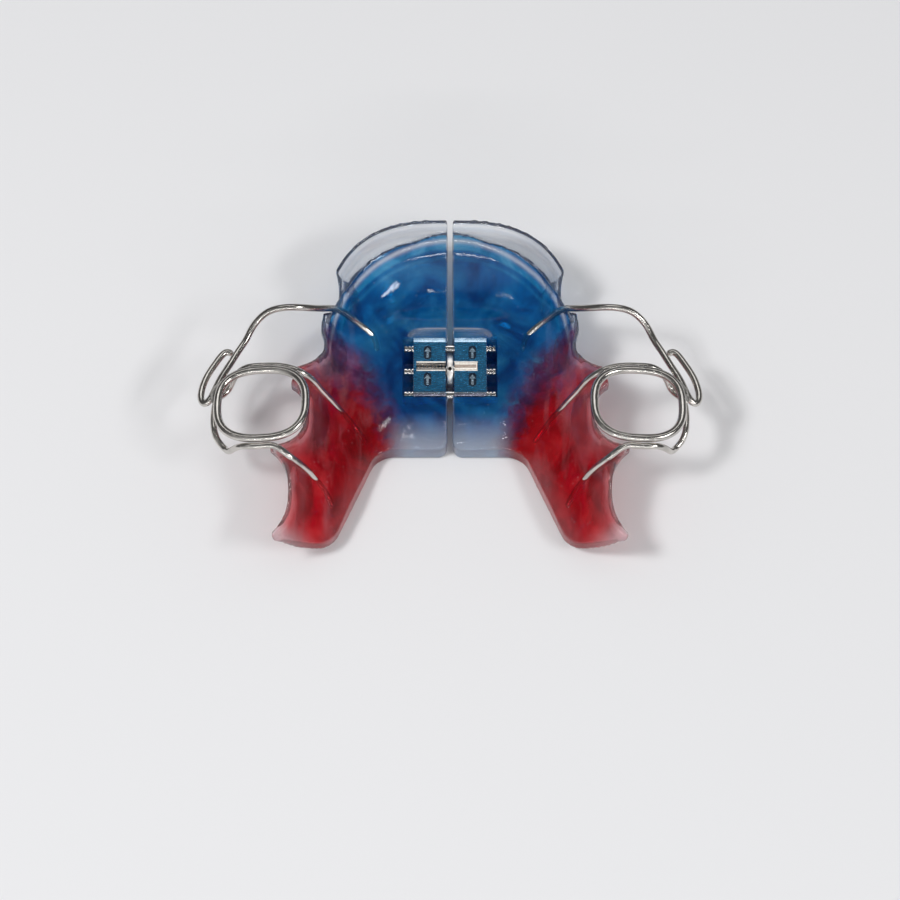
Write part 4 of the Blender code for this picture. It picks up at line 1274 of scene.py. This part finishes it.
def clasp_path():
    """Clasp as in the CAD, with tails nearer the surface: tail, arm, arrow, bridge, arrow, arm, tail."""
    beside = RING_WIRE_RADIUS + CLASP_WIRE_RADIUS + WIRE_GAP
    out = 0.87 * beside
    down = -0.5 * beside
    front_tail = tail_knots(RING_SCALLOP, CLASP_WIRE_RADIUS, (
        (-2.35, -0.02, None), (-2.07, 0.35, None), (-1.76, 0.65, -0.9), (-1.43, 0.80, 0.2),
        (-1.13, 0.95, 2)))
    rear_tail = tail_knots(RING_SCALLOP, CLASP_WIRE_RADIUS, (
        (-0.72, -1.50, 2), (-1.09, -1.60, 1.1), (-1.41, -1.80, None), (-1.59, -2.15, None)))
    arrow_places = [
        (66, out, -0.35 * ARROW_DROP),
        (57, out, -0.75 * ARROW_DROP),
        (48, 0.8 * BRIDGE_STANDOFF, -ARROW_DROP),
        (38, 0.8 * BRIDGE_STANDOFF, -0.95 * ARROW_DROP),
        (28, BRIDGE_STANDOFF, -1.2 * BRIDGE_DROP),
    ]
    front_arm = [beside_ring(angle, out, down) for angle in (126, 108, 90, 76)]
    front_arrow = [beside_ring(*place) for place in arrow_places]
    bridge = [beside_ring(angle, BRIDGE_STANDOFF, -BRIDGE_DROP) for angle in (18, 0, -18)]
    rear_arrow = [beside_ring(-angle, *place) for angle, *place in reversed(arrow_places)]
    rear_arm = [beside_ring(angle, out, down) for angle in (-76, -90, -100)]
    path = relaxed(smooth_path(front_tail + front_arm + front_arrow + bridge + rear_arrow + rear_arm
                               + rear_tail))
    early = round(TAIL_SHARE * len(path))
    late = len(path) - early
    return relaxed(path[:early], 50) + path[early:late] + relaxed(path[late:], 50)


def build_bead(side, material):
    """Solder that has flowed along both wires, with a lumpy skin."""
    ring_side = Vector(beside_ring(KNOT_ANGLE))
    arm_side = Vector(knot_place())
    middle = (ring_side + arm_side) / 2
    along = Vector(beside_ring(KNOT_ANGLE + 12)) - Vector(beside_ring(KNOT_ANGLE - 12))
    along.normalize()
    through = along.cross(arm_side - ring_side).normalized()
    across = through.cross(along)
    shape = bmesh.new()
    bmesh.ops.create_icosphere(shape, subdivisions=5, radius=1.0)
    for vertex in shape.verts:
        lumps = 0.94 + 0.12 * noise.noise(1.9 * vertex.co + Vector((side, 4.0, 9.0)))
        reach, width, height = lumps * vertex.co
        waist = 1 - BEAD_WAIST * abs(reach) ** 2
        vertex.co = (middle + BEAD_HALF_LENGTH * reach * along + BEAD_HALF_WIDTH * width * waist * across
                     + BEAD_HALF_HEIGHT * height * waist * through)
        vertex.co.x *= side
    bead = object_from_bmesh(f"solder_{SIDE_NAMES[side]}", shape)
    bead.data.shade_smooth()
    dress(bead, material)
    return carry(bead, "solder", f"{SIDE_NAMES[side]}_half", f"solder_bead_{SIDE_NAMES[side]}")


def build_wires(side, steel, solder):
    suffix = SIDE_NAMES[side]
    ring_path = [beside_ring(angle) for angle in np.arange(0, 360, 2.5)]
    pieces = []
    for name, path, radius, node in (
            ("round_ring", ring_path, RING_WIRE_RADIUS, "clasp_ring"),
            ("bent_arm", front_arm_path(), ARM_WIRE_RADIUS, "front_arm"),
            ("bent_clasp", clasp_path(), CLASP_WIRE_RADIUS, "arrow_clasp")):
        wire = tube(f"{name}_{suffix}", sided(side, path), radius, closed=path is ring_path)
        pieces.append(carry(dress(wire, steel), "steel", f"{suffix}_half", f"{node}_{suffix}"))
    return [*pieces, build_bead(side, solder)]


# Stage


def build_floor():
    shape = bmesh.new()
    bmesh.ops.create_grid(shape, x_segments=1, y_segments=1, size=3.0)
    floor = object_from_bmesh("floor", shape)
    floor.location.z = -0.02 * MM
    surface = Surface("pale_floor", Roughness=0.7, Specular_IOR_Level=0.1, Base_Color=(0.80, 0.80, 0.81))
    dress(floor, surface.material)


def build_world():
    """Even pale surroundings. First reflections see them dimmer, with a bright wall behind the camera."""
    world = bpy.data.worlds.new("light_tent")
    bpy.context.scene.world = world
    tent = Nodes(world)
    rays = tent.add("LightPath").outputs
    direct = tent.math("MAXIMUM", rays["Is Camera Ray"], rays["Is Diffuse Ray"])
    inside = tent.math("GREATER_THAN", rays["Transmission Depth"], 0.5)
    way = tent.add("SeparateXYZ", Vector=tent.add("TexCoord").outputs["Generated"]).outputs
    wall = tent.map(way["Y"], -0.35, -0.80, DIM_TENT, BRIGHT_WALL)
    strength = tent.add("Mix", Factor=tent.math("MAXIMUM", direct, inside), A=wall, B=EVEN_TENT)
    tent.put(tent.tree.nodes["Background"], Color=(0.98, 0.985, 1.0),
             Strength=strength.outputs["Result"])


def area_lamp(name, place, size, watts):
    lamp = bpy.data.lights.new(name, "AREA")
    lamp.shape = "RECTANGLE"
    lamp.size, lamp.size_y = size
    lamp.energy = watts
    item = new_object(name, lamp)
    item.location = place
    item.rotation_euler = (LAMP_TARGET - Vector(place)).to_track_quat("-Z", "Y").to_euler()
    return item


def shine_only_on(lamp, pieces):
    receivers = bpy.data.collections.new(f"{lamp.name}_receivers")
    for item in pieces:
        receivers.objects.link(item)
    lamp.light_linking.receiver_collection = receivers


def build_camera():
    forward = Vector((0.0, math.cos(CAMERA_ELEVATION), -math.sin(CAMERA_ELEVATION)))
    data = bpy.data.cameras.new("camera")
    data.lens = 120
    data.sensor_width = 36
    data.clip_start = 1 * MM
    camera = new_object("camera", data)
    camera.location = CAMERA_TARGET - CAMERA_DISTANCE * forward
    camera.rotation_euler = forward.to_track_quat("-Z", "Y").to_euler()
    bpy.context.scene.camera = camera


def main():
    acrylic = acrylic_material()
    blue_metal = blue_metal_material("blue_coated_metal", (0.035, 0.22, 0.45), (0.07, 0.33, 0.62))
    # Painted highlight: light metal for the front bevel and the arrows' tops
    painted_highlight_cut = blue_metal_material("cut_metal_painted_highlight", (0.40, 0.58, 0.74), (0.62, 0.78, 0.90))
    # Painted shade: dark metal for the rear bevel
    painted_shade_cut = blue_metal_material("cut_metal_painted_shade", (0.14, 0.14, 0.19), (0.24, 0.24, 0.30))
    wire_steel = steel_material("drawn_steel", (0.70, 0.67, 0.63), 3.0, (0.9, 14.0, 1.0), "UV")
    turned_steel = steel_material("turned_steel", (0.88, 0.86, 0.84), 4000)
    satin_steel = steel_material("satin_steel", (0.88, 0.85, 0.82), 4000, roughest=0.6)
    solder = solder_material()
    insert = plastic_material("pale_plastic", (0.62, 0.58, 0.52), (0.80, 0.76, 0.70))
    # Painted shade for the floor of the insert's groove
    groove_shade = plastic_material("painted_groove_shade_plastic", (0.30, 0.24, 0.20), (0.42, 0.35, 0.30))
    # The last finish, the insert's pale plastic, is a painted highlight on the half bodies' slot steps
    finishes = (blue_metal, turned_steel, recess_material(), painted_highlight_cut, painted_shade_cut, insert)
    screw_pieces = []
    wires = []
    for side in (LEFT, RIGHT):
        build_plate(side, acrylic)
        screw_pieces.append(build_housing(side, finishes))
        wires += build_wires(side, wire_steel, solder)
    spindle_pieces = build_spindle(turned_steel, satin_steel)
    screw_pieces += spindle_pieces
    screw_pieces.append(build_pin("front", PIN_OFFSET, turned_steel))
    screw_pieces.append(build_pin("rear", -PIN_OFFSET, turned_steel))
    screw_pieces.append(build_insert(insert, groove_shade))
    build_floor()
    build_world()
    key = area_lamp("key_lamp", (-0.28, -0.12, 0.50), (0.13, 0.13), 1.35)
    key.visible_glossy = False
    area_lamp("left_glint", (-0.28, -0.12, 0.50), (0.05, 0.03), 0.18)
    area_lamp("right_glint", (0.35, -0.20, 0.40), (0.20, 0.08), 0.75)
    area_lamp("rear_glint", (0.05, -0.26, 0.54), (0.05, 0.012), 0.035)
    shine_only_on(area_lamp("screw_glint", (0.0, 0.40, 0.20), (0.40, 0.34), 0.75), screw_pieces)
    shine_only_on(area_lamp("hub_glint", (0.0, 0.06, 0.50), (0.30, 0.50), 0.6), spindle_pieces[:1])
    shine_only_on(area_lamp("wire_glint", (0.0, 0.27, 0.52), (0.40, 0.15), 0.25), wires)
    area_lamp("strip_lamp", (0.0, -0.54, 0.22), (0.50, 0.016), 0.35)
    bpy.context.scene.view_settings.view_transform = "Standard"
    build_camera()


main()
